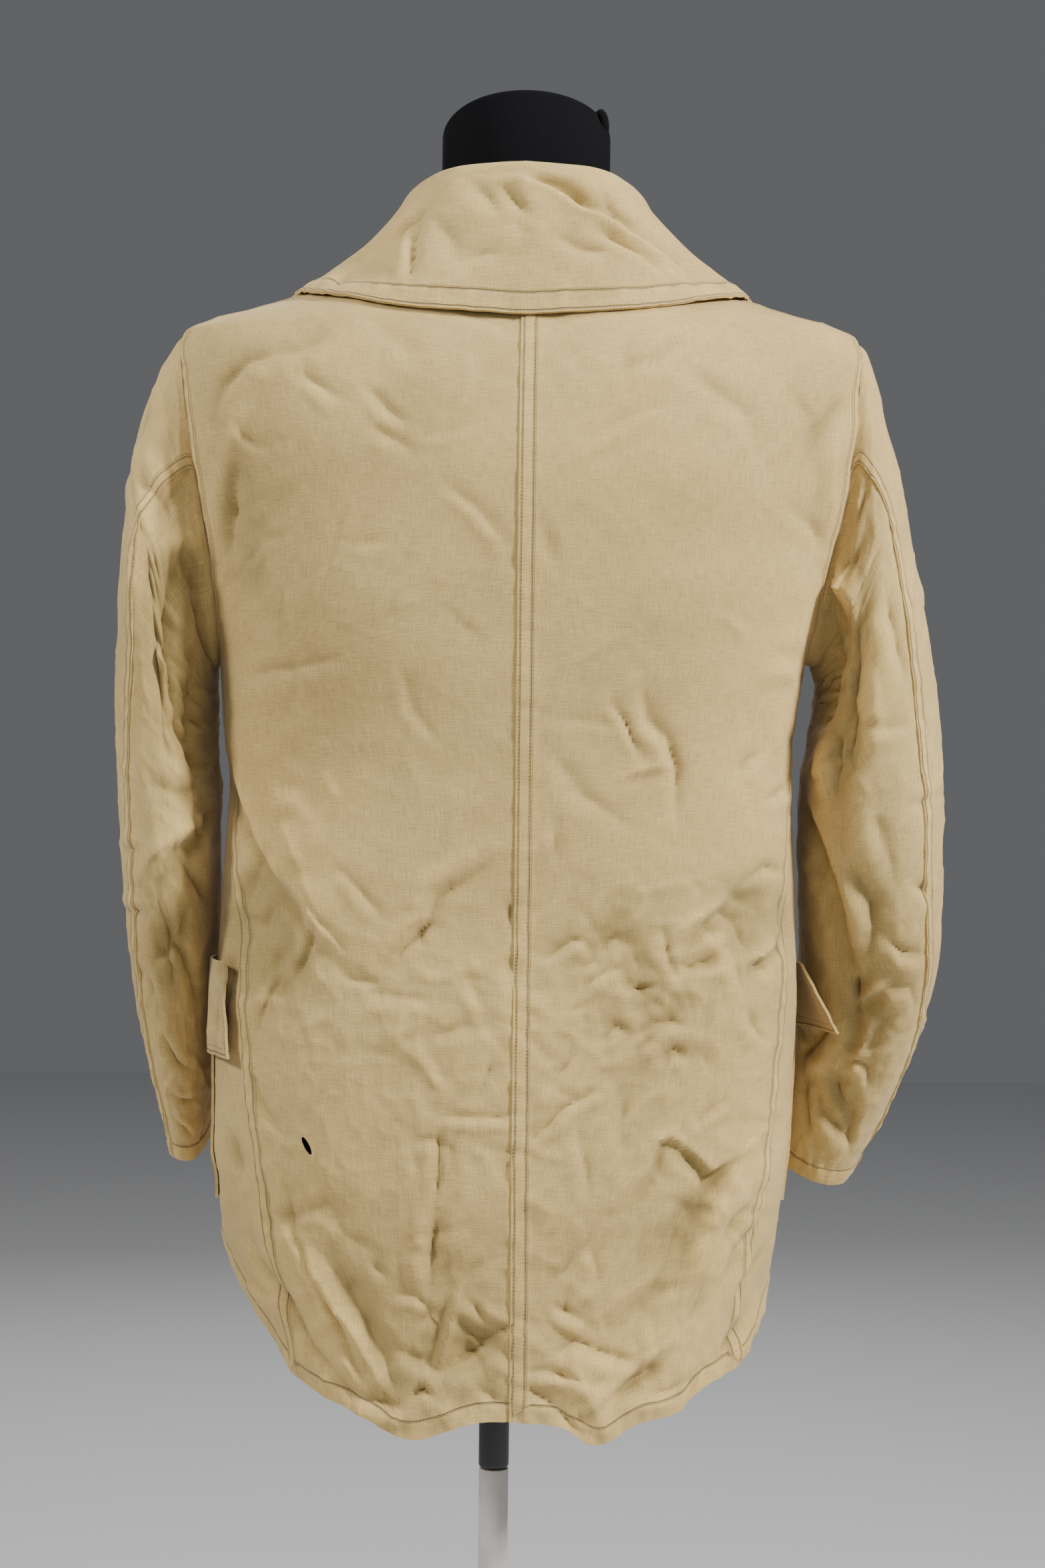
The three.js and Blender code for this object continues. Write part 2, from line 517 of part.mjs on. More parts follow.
function plainSleeve(turn, at, side) {
  const t = sleeveTables[side];
  const c = power(Math.cos(turn * RADIAN), 2 / SLEEVE_SQUARE);
  const s = power(Math.sin(turn * RADIAN), 2 / SLEEVE_SQUARE);
  const pitch = t.pitch(at) * RADIAN;
  const depth = t.halfDepth(at) * s;
  const x = mix(t.inX(at), t.outX(at), (1 + c) / 2);
  const z = mix(t.inZ(at), t.outZ(at), (1 + c) / 2) - depth * Math.sin(pitch);
  const ring = new THREE.Vector3(side * x, t.y(at) + depth * Math.cos(pitch), z);
  const share = 1 - smooth(0, ARMHOLE_BLEND, at);
  if (share === 0) return ring;
  const edge = armholePoint(turn, side);
  const hole = bodyPoint(edge.turn, edge.z);
  const low = smooth(95, 165, Math.abs(((turn + 540) % 360) - 180));
  hole.x += side * mix(ARMHOLE_EASE, 2.35, low);
  return ring.lerp(hole, share);
}

const leftFolds = SLEEVE_FOLDS.filter((fold) => fold.sleeve > 0);
const rightFolds = SLEEVE_FOLDS.filter((fold) => fold.sleeve < 0);
const MM_PER_SECTION = 46;
const MM_PER_DEGREE = 1.15;
function sleevePoint(turn, at, side) {
  const surface = (t, a) => plainSleeve(t, a, side);
  const normal = normalOf(surface, turn, at, 2, 0.05).multiplyScalar(side);
  const folds = (side > 0 ? leftFolds : rightFolds).map((fold) => ({
    ...fold,
    at1: fold.at1 * MM_PER_SECTION,
    at2: fold.at2 * MM_PER_SECTION,
    turn1: fold.turn1 * MM_PER_DEGREE,
    turn2: fold.turn2 * MM_PER_DEGREE,
  }));
  const wrapped = turn > 180 ? turn - 360 : turn;
  const keys = ["at1", "turn1", "at2", "turn2"];
  const fold = foldHeight(folds, at * MM_PER_SECTION, wrapped * MM_PER_DEGREE, keys);
  const fade = smooth(0.6, 2.4, at) * (1 - smooth(12, 13, at));
  return surface(turn, at).addScaledVector(normal, fold * fade);
}

// A panel of a sleeve between its seams. At the armhole its columns start at the armhole's own corners.
const SEAM_INSET = 0.17; // degrees
function sleevePanel(side, turns, seams) {
  const lastSection = LEFT_SLEEVE.length - 1;
  const first = turns[0];
  const last = turns[turns.length - 1];
  const surface = (t, a) => sleevePoint(t, a, side);
  return wall(SLEEVE_ROWS, turns.length - 1, CLOTH, (along, _, __, col) => {
    const at = lastSection * along;
    const [from, to] = seams(at, side);
    const turn = mix(from + SEAM_INSET, to - SEAM_INSET, (turns[col] - first) / (last - first));
    return { point: surface(turn, at), normal: normalOf(surface, turn, at, 2, 0.05).multiplyScalar(side) };
  });
}
const backSeam = (at, side) => (side > 0 ? sleeveSeams.left(at) : sleeveSeams.right(at));
const topSeams = (at, side) => [sleeveSeams.front(at), backSeam(at, side)];
const underSeams = (at, side) => [backSeam(at, side), sleeveSeams.front(at) + 360];

// The collar: a stand that rises from the neck seam, a roll, and a wide fall that spreads over the shoulders.
const collar = columns(COLLAR, "turn");
const COLLAR_COLS = 30;
function collarProfile(turn) {
  const side = Math.sign(turn) || 1;
  const t = Math.abs(turn);
  const neckTurn = (t / COLLAR_END) * COLLAR_NECK_TURN;
  const foot = plainBody(side * neckTurn, neckZ(neckTurn));
  foot.z += NECK_REST + smooth(70, 130, t);
  const roll = new THREE.Vector3(side * collar.rollX(t), collar.rollY(t), collar.rollZ(t));
  const edge = bodyPoint(side * collar.edgeTurn(t), collar.edgeZ(t), COLLAR_REST);
  const out = new THREE.Vector3(edge.x - foot.x, edge.y - foot.y, 0).normalize();
  const inside = roll.clone().addScaledVector(out, -4.2);
  inside.z -= 7;
  const outside = roll.clone().addScaledVector(out, 5.2);
  outside.z -= 7;
  const bulge = side > 0 ? collar.left(t) : collar.right(t);
  const fall = outside.clone().lerp(edge, 0.5).addScaledVector(out, bulge);
  fall.z += bulge;
  const standMiddle = foot.clone().lerp(inside, 0.5);
  return new THREE.CatmullRomCurve3([foot, standMiddle, inside, roll, outside, fall, edge]);
}
const COLLAR_KNOTS = [0, 0.15, 0.3, 0.38, 0.46, 0.72, 1];
function collarPoint(turn, step) {
  let k = 0;
  while (k < COLLAR_KNOTS.length - 2 && step > COLLAR_KNOTS[k + 1]) k++;
  const part = (step - COLLAR_KNOTS[k]) / (COLLAR_KNOTS[k + 1] - COLLAR_KNOTS[k]);
  return collarProfile(turn).getPoint(clamp01((k + part) / (COLLAR_KNOTS.length - 1)));
}
function collarWall() {
  const turns = Array.from({ length: COLLAR_COLS + 1 }, (_, k) => mix(-COLLAR_END, COLLAR_END, k / COLLAR_COLS));
  return wall(COLLAR_STEPS.length - 1, COLLAR_COLS, COLLAR_CLOTH, (_, __, row, col) => {
    const step = COLLAR_STEPS[row];
    const turn = turns[col];
    const before = collarPoint(Math.max(turn - 1, -COLLAR_END), step);
    const after = collarPoint(Math.min(turn + 1, COLLAR_END), step);
    const low = collarPoint(turn, Math.max(step - 0.02, 0));
    const high = collarPoint(turn, Math.min(step + 0.02, 1));
    const normal = after.sub(before).cross(high.sub(low)).normalize();
    return { point: collarPoint(turn, step), normal };
  });
}

// What lies on a front is made from the front's own places, moved out.
function onFront(grid, rows, cols, thickness, place) {
  return wall(rows, cols, thickness, (along, across) => {
    const { row, col, out } = place(along, across);
    return onGrid(grid, row, col, out);
  });
}

// The row of a front, along one of its columns, at a height.
function rowOfHeight(grid, z, col) {
  const heightOf = (row) => onGrid(grid, row, col, 0).point.z;
  let row = 0;
  while (row < grid.length - 2 && heightOf(row + 1) < z) row++;
  const low = heightOf(row);
  return row + clamp01((z - low) / (heightOf(row + 1) - low));
}

function lapel(grid, side) {
  const bottom = side > 0 ? LAPEL.bottomZ : LAPEL.underBottomZ;
  return onFront(grid, 8, 4, CLOTH, (along, across) => {
    const z = mix(bottom, LAPEL.topZ, along);
    const full = smooth(BREAK_Z - 10, 1300, z);
    const cols = mix(0.4, LAPEL.widestCols, full) * (1 - 0.2 * smooth(1315, LAPEL.topZ, z));
    const drop = LAPEL.drop * across * smooth(1290, LAPEL.topZ, z);
    return { row: rowOfHeight(grid, z - drop, 0), col: 0.2 + cols * across, out: LAPEL.rise };
  });
}

function pocket(grid) {
  const { bottomZ, topZ, innerCol, rearCol, cols, rise } = POCKET;
  return onFront(grid, 6, cols, CLOTH, (along, across) => {
    const col = Math.min(innerCol + cols * across, rearCol);
    return { row: rowOfHeight(grid, mix(bottomZ, topZ, along), col), col, out: rise };
  });
}

function flap(grid, flare) {
  const { bottomZ, topZ, innerCol, rearCol, cols, rise } = FLAP;
  return onFront(grid, 4, cols, CLOTH, (along, across) => {
    const col = Math.min(innerCol + cols * across, rearCol);
    const out = rise + flare * (1 - along) ** 1.2 * across ** 3;
    return { row: rowOfHeight(grid, mix(bottomZ, topZ, along), col), col, out };
  });
}

function button(x, z) {
  const { radius, thickness, rim } = BUTTON;
  const profile = [
    [0, 0],
    [radius - 2, 0],
    [radius, 1.4],
    [radius - 0.4, thickness - 0.5],
    [radius - rim, thickness],
    [radius - rim - 1.2, thickness - 1.2],
    [0, thickness - 1.2],
  ].map(([r, h]) => new THREE.Vector2(r, h));
  const geometry = new THREE.LatheGeometry(profile, 16);
  const turn = turnOfX(Math.abs(x), z, true);
  const signed = x >= 0 ? turn : 360 - turn;
  const point = bodyPoint(signed, z, CLOTH / 2 + BUTTON_CLEAR);
  const normal = normalOf(bodyPoint, signed, z, FINITE, FINITE);
  const turnTo = new THREE.Quaternion().setFromUnitVectors(new THREE.Vector3(0, 1, 0), normal);
  return { geometry, point, turnTo };
}
const BUTTON_CLEAR = 0.75;

// The dress form: a smooth torso inside the coat, touching it only on the shoulders.
const FORM_ROWS = [
  { z: FORM.bottomZ, half: 120, back: 92, front: 96 },
  { z: 720, half: 152, back: 110, front: 112 },
  { z: 800, half: 172, back: 116, front: 116 },
  { z: 880, half: 168, back: 108, front: 110 },
  { z: 980, half: 158, back: 97, front: 108 },
  { z: 1080, half: 170, back: 106, front: 118 },
  { z: 1180, half: 184, back: 114, front: 116 },
  { z: 1260, half: 194, back: 112, front: 96 },
];
const FORM_AROUND = 40;
function formTorso() {
  const low = columns(FORM_ROWS, "z");
  const lastLow = FORM_ROWS[FORM_ROWS.length - 1].z;
  const heights = [706, 712, 722, 745, 780, 830, 880, 930, 980, 1030, 1080, 1130, 1180, 1220, 1260];
  for (const z of [1288, 1306, 1318, 1327, 1335, 1343, 1352, FORM.topZ]) heights.push(z);
  const rings = heights.map((z) => {
    const ring = [];
    for (let k = 0; k < FORM_AROUND; k++) {
      const turn = (360 * k) / FORM_AROUND;
      const s = Math.sin(turn * RADIAN);
      const c = Math.cos(turn * RADIAN);
      const lean = STAND_X * (1 - smooth(FORM.bottomZ, 1150, z));
      const at = Math.min(z, lastLow);
      const half = low.half(at);
      const depth = c >= 0 ? low.back(at) : low.front(at);
      const plain = new THREE.Vector3(lean + half * power(s, 0.9), depth * power(c, 0.9), z);
      // Over the shoulders the form follows the coat's inside.
      const coat = plainBody(turn, Math.min(z + FORM.ease, 1383));
      const cut = Math.min(Math.abs(coat.x), FORM.shoulderHalf) / Math.max(Math.abs(coat.x), 1);
      coat.x *= cut;
      coat.y *= c >= 0 ? 0.97 : 0.92;
      coat.z = z;
      ring.push(plain.lerp(coat, smooth(1240, 1315, z)));
    }
    return ring;
  });
  return lathed(rings);
}

// A closed solid through rings of equal counts, with a flat cap at each end.
function lathed(rings) {
  const positions = [];
  const index = [];
  const count = rings[0].length;
  for (const ring of rings) for (const p of ring) positions.push(p.x, p.y, p.z);
  for (let i = 0; i < rings.length - 1; i++) {
    for (let k = 0; k < count; k++) {
      const a = i * count + k;
      const b = i * count + ((k + 1) % count);
      index.push(a, b, b + count, a, b + count, a + count);
    }
  }
  const middle = (ring) => ring.reduce((sum, p) => sum.add(p), new THREE.Vector3()).divideScalar(count);
  const bottom = positions.length / 3;
  const first = middle(rings[0]);
  positions.push(first.x, first.y, first.z);
  const last = middle(rings[rings.length - 1]);
  positions.push(last.x, last.y, last.z);
  const start = (rings.length - 1) * count;
  for (let k = 0; k < count; k++) {
    index.push(bottom, (k + 1) % count, k);
    index.push(bottom + 1, start + k, start + ((k + 1) % count));
  }
  return facingOut(positions, index);
}

// The neck of the form: upright sides, and a top that slopes down to the front with a rounded edge.
function formNeck() {
  const { halfWidth, halfDepth, y, bottomZ, frontZ, backZ, edge } = NECK_FORM;
  const steps = [
    { inset: 0, share: 0 },
    { inset: 0, share: 1, drop: edge },
    { inset: edge * 0.3, share: 1, drop: edge * 0.3 },
    { inset: edge, share: 1, drop: 0 },
  ];
  const rings = steps.map(({ inset, share, drop = 0 }) => {
    const ring = [];
    for (let k = 0; k < 36; k++) {
      const turn = (2 * Math.PI * k) / 36;
      const c = Math.cos(turn);
      const top = mix(frontZ, backZ, (1 + (c * (halfDepth - inset)) / halfDepth) / 2) - drop;
      const z = share === 0 ? bottomZ : top;
      ring.push(new THREE.Vector3((halfWidth - inset) * Math.sin(turn), y + (halfDepth - inset) * c, z));
    }
    return ring;
  });
  return lathed(rings);
}

// The stand
const TOUCH = 0.3;
function standTube(radius, bottom, top) {
  const geometry = new THREE.CylinderGeometry(radius, radius, top - bottom, 28);
  geometry.rotateX(Math.PI / 2);
  geometry.translate(STAND_X, 0, (bottom + top) / 2);
  return geometry;
}
function standBase() {
  const { baseRadius, baseThickness } = STAND;
  const profile = [
    [0, 0],
    [baseRadius - 1, 0],
    [baseRadius, 1],
    [baseRadius, baseThickness - 3],
    [baseRadius - 3, baseThickness],
    [24, baseThickness],
    [20, baseThickness + 22],
    [0, baseThickness + 22],
  ].map(([r, h]) => new THREE.Vector2(r, h));
  const geometry = new THREE.LatheGeometry(profile, 48);
  geometry.rotateX(Math.PI / 2);
  geometry.translate(STAND_X, 0, 0);
  return geometry;
}
const BASE_TOP = STAND.baseThickness + 22;

// Finishes
const poplin = { color: 0xa8936d, roughness: 0.86, metalness: 0 };
const blackJersey = { color: 0x141317, roughness: 0.95, metalness: 0 };
const whiteEnamel = { color: 0xc9c2ba, roughness: 0.4, metalness: 0 };
const blackPlastic = { color: 0x111112, roughness: 0.5, metalness: 0 };
const buttonPlastic = { color: 0x5a4b33, roughness: 0.45, metalness: 0 };

const coat = new THREE.Group();
function add(name, geometry, finish) {
  const mesh = new THREE.Mesh(geometry, new THREE.MeshStandardMaterial(finish));
  mesh.name = name;
  coat.add(mesh);
  return mesh;
}

const BACK_COLS = 12;
const FRONT_COLS = 15;
for (const [word, side] of [
  ["left", 1],
  ["right", -1],
]) {
  const back = bodyPanel(BACK, BACK_COLS, side, centreBack, () => 0);
  const front = bodyPanel(FRONT, FRONT_COLS, side, frontEdge, underLap(side));
  add(`back_${word}`, gridWall(back, CLOTH), poplin);
  add(`front_${word}`, gridWall(front, CLOTH), poplin);
  add(`sleeve_top_${word}`, sleevePanel(side, TOP_TURNS, topSeams), poplin);
  add(`sleeve_under_${word}`, sleevePanel(side, UNDER_TURNS, underSeams), poplin);
  add(`lapel_${word}`, lapel(front, side), poplin);
  add(`pocket_${word}`, pocket(front), poplin);
  add(`flap_${word}`, flap(front, FLAP_FLARE[word]), poplin);
}
add("collar", collarWall(), poplin);

let buttonNumber = 1;
for (const z of BUTTON.rows) {
  for (const x of [BUTTON.x, -BUTTON.x]) {
    const { geometry, point, turnTo } = button(x, z);
    const mesh = add(`button_${buttonNumber}`, geometry, buttonPlastic);
    mesh.position.copy(point);
    mesh.quaternion.copy(turnTo);
    buttonNumber += 1;
  }
}

add("form_torso", formTorso(), blackJersey);
add("form_neck", formNeck(), blackJersey);
add("stand_sleeve", standTube(STAND.sleeveRadius, STAND.sleeveBottomZ, FORM.bottomZ - TOUCH), blackPlastic);
add("stand_pole", standTube(STAND.poleRadius, BASE_TOP + TOUCH, STAND.sleeveBottomZ - TOUCH), whiteEnamel);
add("stand_base", standBase(), blackPlastic);

export default coat;
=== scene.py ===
import math

import bpy
import numpy as np
from mathutils import Matrix, Vector


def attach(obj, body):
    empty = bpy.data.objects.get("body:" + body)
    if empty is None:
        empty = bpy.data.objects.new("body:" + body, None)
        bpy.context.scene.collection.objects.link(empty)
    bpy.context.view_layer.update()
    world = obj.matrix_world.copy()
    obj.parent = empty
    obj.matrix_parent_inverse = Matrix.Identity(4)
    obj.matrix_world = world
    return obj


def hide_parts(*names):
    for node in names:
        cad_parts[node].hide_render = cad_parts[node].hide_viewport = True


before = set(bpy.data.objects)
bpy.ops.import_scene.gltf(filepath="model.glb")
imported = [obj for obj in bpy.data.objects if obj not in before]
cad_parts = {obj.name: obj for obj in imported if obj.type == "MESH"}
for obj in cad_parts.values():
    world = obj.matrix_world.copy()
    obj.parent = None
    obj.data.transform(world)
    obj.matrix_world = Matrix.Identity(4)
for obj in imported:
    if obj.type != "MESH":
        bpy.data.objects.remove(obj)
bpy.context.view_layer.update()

MM = 0.001

# The coat's own sizes, in millimetres, the same as its solids have.
CLOTH = 1.9
COLLAR_CLOTH = 2.3
SHOULDER_Z = 1320
ARMPIT_Z = 1090
NECK_SIDE_Z = 1381
NECK_BACK_Z = 1373
LAPEL_TOP_Z = 1352
BREAK_Z = 1185
LAP = 62
UNDER_LAP = 45
UNDER_DEPTH = 3.4
STAND_X = 13

# z, half width on the wearer's left and right, depth behind and in front, squareness
BODY = np.array([
    (555, 196, 180, 153, 144, 2.30),
    (600, 198, 181, 152, 145, 2.30),
    (640, 202, 183, 150, 145, 2.30),
    (680, 209, 188, 148, 144, 2.35),
    (760, 215, 197, 142, 141, 2.40),
    (847, 217, 201, 133, 137, 2.40),
    (915, 214, 200, 126, 134, 2.40),
    (1000, 209, 196, 121, 134, 2.40),
    (1035, 213, 196, 123, 136, 2.40),
    (1090, 216, 203, 129, 139, 2.40),
    (1150, 227, 222, 133, 137, 2.45),
    (1210, 240, 240, 132, 129, 2.45),
    (1270, 249, 246, 126, 111, 2.40),
    (1300, 250, 246, 119, 98, 2.30),
    (1320, 246, 241, 110, 85, 2.20),
    (1329, 229, 223, 104, 79, 2.15),
    (1336, 203, 199, 99, 75, 2.10),
    (1343, 180, 177, 94, 72, 2.10),
    (1351, 157, 154, 89, 69, 2.05),
    (1363, 122, 120, 81, 65, 2.00),
    (1374, 94, 94, 74, 61, 2.00),
    (1383, 76, 76, 67, 58, 2.00),
])

# turn round the coat, height of the hem
HEM = np.array([
    (-180, 650), (-110, 656), (-90, 650), (-72, 628), (-56, 601), (-42, 590), (-34, 575), (-25, 571),
    (-15, 558), (-7, 571), (3, 573), (17, 559), (28, 574), (45, 592), (58, 625), (74, 660), (90, 675),
    (115, 670), (180, 650),
])

# turn round the neck, height of the neck seam
NECK = np.array([
    (0, NECK_BACK_Z), (40, 1376.5), (75, 1380.5), (90, NECK_SIDE_Z), (120, 1377.5), (140, 1369),
    (158, LAPEL_TOP_Z),
])

# z, turn of the side seam on the wearer's left and right
SIDE_SEAM = np.array([(555, 45, 53), (790, 57, 64), (900, 66, 70), (1000, 78, 78), (ARMPIT_Z, 88, 88)])

# z, y of the shoulder seam
SHOULDER_SEAM = np.array([(1312, 24), (1329, 23), (1343, 20), (1363, 13), (NECK_SIDE_Z, 6)])

ARMHOLE = {"y": 1, "half_depth": 52, "square": 2.3}


def curve(rows, column):
    """A smooth curve through one column of a table, against its first column. It overshoots nowhere."""
    x = rows[:, 0].astype(float)
    y = rows[:, column].astype(float)
    rise = np.diff(y) / np.diff(x)
    slope = np.zeros(len(x))
    slope[0] = rise[0]
    slope[-1] = rise[-1]
    before = rise[:-1]
    after = rise[1:]
    same = before * after > 0
    total = np.where(same, before + after, 1)
    slope[1:-1] = np.where(same, 2 * before * after / total, 0)

    def value(at):
        t = np.clip(np.asarray(at, float), x[0], x[-1])
        i = np.clip(np.searchsorted(x, t, side="right") - 1, 0, len(x) - 2)
        span = x[i + 1] - x[i]
        u = (t - x[i]) / span
        u2 = u * u
        u3 = u2 * u
        start = (2 * u3 - 3 * u2 + 1) * y[i] + (u3 - 2 * u2 + u) * span * slope[i]
        return start + (3 * u2 - 2 * u3) * y[i + 1] + (u3 - u2) * span * slope[i + 1]

    return value


def mix(a, b, t):
    return a + (b - a) * t


def smooth(a, b, t):
    u = np.clip((t - a) / (b - a), 0, 1)
    return u * u * (3 - 2 * u)


def power(value, exponent):
    return np.sign(value) * np.abs(value) ** exponent


def length(v):
    return np.sqrt((v * v).sum(-1, keepdims=True))


def normal_of(surface, u, v, du, dv):
    across = surface(u + du, v) - surface(u - du, v)
    along = surface(u, v + dv) - surface(u, v - dv)
    n = np.cross(along, across)
    return n / np.maximum(length(n), 1e-9)


body_left, body_right, body_back, body_front, body_square = [curve(BODY, k) for k in range(1, 6)]
hem_z = curve(HEM, 1)
neck_z = curve(NECK, 1)
seam_left, seam_right = [curve(SIDE_SEAM, k) for k in (1, 2)]
shoulder_seam_y = curve(SHOULDER_SEAM, 1)


def plain_body(turn, z):
    """The coat's surface without folds."""
    turn, z = np.broadcast_arrays(np.asarray(turn, float), np.asarray(z, float))
    s = np.sin(np.radians(turn))
    c = np.cos(np.radians(turn))
    exponent = 2 / body_square(z)
    half = np.where(s >= 0, body_left(z), body_right(z))
    depth = np.where(c >= 0, body_back(z), body_front(z))
    return np.stack([half * power(s, exponent), depth * power(c, exponent), z], -1)


def turn_of_x(x, z):
    half = np.where(x >= 0, body_left(z), body_right(z))
    ratio = np.clip(np.abs(x) / half, 0, 1)
    return 180 - np.degrees(np.arcsin(ratio ** (body_square(z) / 2)))


def turn_of_y(y, z):
    depth = np.where(y >= 0, body_back(z), body_front(z))
    ratio = np.clip(np.abs(y) / depth, 0, 1)
    turn = np.degrees(np.arccos(ratio ** (body_square(z) / 2)))
    return np.where(y >= 0, turn, 180 - turn)


def armhole_point(turn, side):
    exponent = 2 / ARMHOLE["square"]
    middle = (SHOULDER_Z + ARMPIT_Z) / 2
    turn = np.asarray(turn, float)
    z = middle + (SHOULDER_Z - middle) * power(np.cos(np.radians(turn)), exponent)
    y = ARMHOLE["y"] + ARMHOLE["half_depth"] * power(np.sin(np.radians(turn)), exponent)
    return side * turn_of_y(y, z), z


# Creases
# Each crease is a line of points, how wide it is, how far it stands out (+) or sinks in (-), and its lean:
# how far the cloth on one side of it is pressed the other way, which makes that flank steep.
NARROWEST_CREASE = 3.5
NARROW_CREASE = 8
BROAD_FOLD = 14
# The most that it may stand out, as a share of its width
STEEPEST_NARROW = 0.55
STEEPEST_WIDE = 0.8
# Its height is raised by this much, because its tapered ends and uneven strength lower it
CREASE_GAIN = 1.85
FOLD_GAIN = 1.3
# How far its line strays sideways, and over what distance
WANDER = 3.2
WANDER_SCALE = 17


def lattice_noise(a, c, scale, seed):
    """Smooth uneven values from 0 to 1 over a field, with bumps about as wide as the scale."""
    values = np.random.default_rng(seed).uniform(0, 1, (64, 64))
    u = a / scale + 500
    v = c / scale + 500
    i = np.floor(u).astype(int)
    j = np.floor(v).astype(int)
    fu = u - i
    fv = v - j
    fu = fu * fu * (3 - 2 * fu)
    fv = fv * fv * (3 - 2 * fv)
    low = mix(values[i % 64, j % 64], values[(i + 1) % 64, j % 64], fu)
    high = mix(values[i % 64, (j + 1) % 64], values[(i + 1) % 64, (j + 1) % 64], fu)
    return mix(low, high, fv)


def crinkle(a, c, scale, seed):
    """Sharp little ridges where uneven values cross their middle, as in washed and worn cotton."""
    ridge = 1 - np.abs(2 * lattice_noise(a, c, scale, seed) - 1)
    return ridge ** 3 - 0.25


def beside_line(line, a, c):
    """How far each place lies from a line of points, with its side as the sign, and how far along."""
    steps = np.diff(line, axis=0)
    lengths = np.hypot(steps[:, 0], steps[:, 1])
    starts = np.concatenate([[0], np.cumsum(lengths)])
    nearest = np.full(a.shape, 1e9)
    side = np.zeros(a.shape)
    along = np.zeros(a.shape)
    for k, (da, dc) in enumerate(steps):
        t = ((a - line[k, 0]) * da + (c - line[k, 1]) * dc) / max(lengths[k] ** 2, 1e-9)
        held = np.clip(t, 0, 1)
        off_a = a - line[k, 0] - held * da
        off_c = c - line[k, 1] - held * dc
        off = np.hypot(off_a, off_c)
        closer = off < nearest
        nearest = np.where(closer, off, nearest)
        side = np.where(closer, np.sign(off_c * da - off_a * dc), side)
        along = np.where(closer, (starts[k] + held * lengths[k]) / starts[-1], along)
    return nearest * side, along


def crease_height(creases, a, c):
    """How far the cloth stands out at the places (a, c) because of all the creases."""
    stray_a = WANDER * (lattice_noise(a, c, WANDER_SCALE, 21) - 0.5)
    stray_c = WANDER * (lattice_noise(a, c, WANDER_SCALE, 22) - 0.5)
    a = a + stray_a
    c = c + stray_c
    strength = 0.65 + 0.7 * lattice_noise(a, c, 12, 23)
    total = np.zeros(a.shape)
    for points, width, height, lean in creases:
        width = max(width, NARROWEST_CREASE)
        steepest = (STEEPEST_NARROW if width < NARROW_CREASE else STEEPEST_WIDE) * width
        height = min(max(height, -steepest), steepest)
        line = np.asarray(points, float)
        reach = 3.4 * width + 2
        near = (a > line[:, 0].min() - reach) & (a < line[:, 0].max() + reach)
        near &= (c > line[:, 1].min() - reach) & (c < line[:, 1].max() + reach)
        if not near.any():
            continue
        signed, along = beside_line(line, a[near], c[near])
        taper = np.sin(np.pi * (0.06 + 0.88 * along)) ** 0.8
        ridge = np.exp(-((np.abs(signed) / (0.78 * width)) ** 1.05))
        beside = np.exp(-(((signed - 1.7 * width) / (1.3 * width)) ** 2))
        gain = CREASE_GAIN if width < BROAD_FOLD else FOLD_GAIN
        total[near] += gain * height * taper * strength[near] * (ridge - lean * beside)
    return total


def small_creases(seed, count, low, high, widths, heights, angle, spread):
    """Short soft creases strewn over a field, mostly along one angle."""
    random = np.random.default_rng(seed)
    made = []
    for _ in range(count):
        start = random.uniform(low, high)
        turn = math.radians(random.normal(angle, spread))
        reach = random.uniform(14, 60)
        bend = random.normal(0, 0.25)
        first = np.array([math.cos(turn), math.sin(turn)]) * reach / 2
        second = np.array([math.cos(turn + bend), math.sin(turn + bend)]) * reach / 2
        line = [tuple(start - first), tuple(start), tuple(start + second)]
        sign = random.choice([-1, 1])
        width = random.uniform(*widths)
        height = sign * random.uniform(*heights)
        made.append((line, width, height, random.uniform(0.2, 0.6)))
    return made


# The largest folds, as the solids have them: both ends, width and height.
BODY_FOLDS_BACK = [
    ([(178, 1020), (128, 880)], 26, 6, 0),
    ([(196, 940), (160, 850)], 34, -8, 0),
    ([(158, 700), (100, 585)], 17, 6, 0),
    ([(128, 690), (84, 600)], 16, -4, 0),
    ([(40, 640), (12, 590)], 18, -5, 0),
    ([(-60, 915), (-110, 800)], 24, -4, 0),
    ([(-140, 930), (-186, 905)], 20, -5, 0),
    ([(-162, 760), (-118, 640)], 18, 5, 0),
    ([(-128, 750), (-92, 650)], 18, -4, 0),
    ([(-40, 618), (-62, 560)], 22, 6, 0),
    ([(-196, 1140), (-176, 1010)], 24, 4, 0),
    ([(205, 1230), (180, 1120)], 22, -5, 0),
]
BODY_FOLDS_FRONT = [
    ([(150, 1180), (70, 1020)], 26, 5, 0),
    ([(-150, 1180), (-90, 1030)], 26, 4, 0),
    ([(170, 720), (120, 660)], 24, 5, 0),
    ([(-160, 740), (-120, 655)], 24, 5, 0),
]

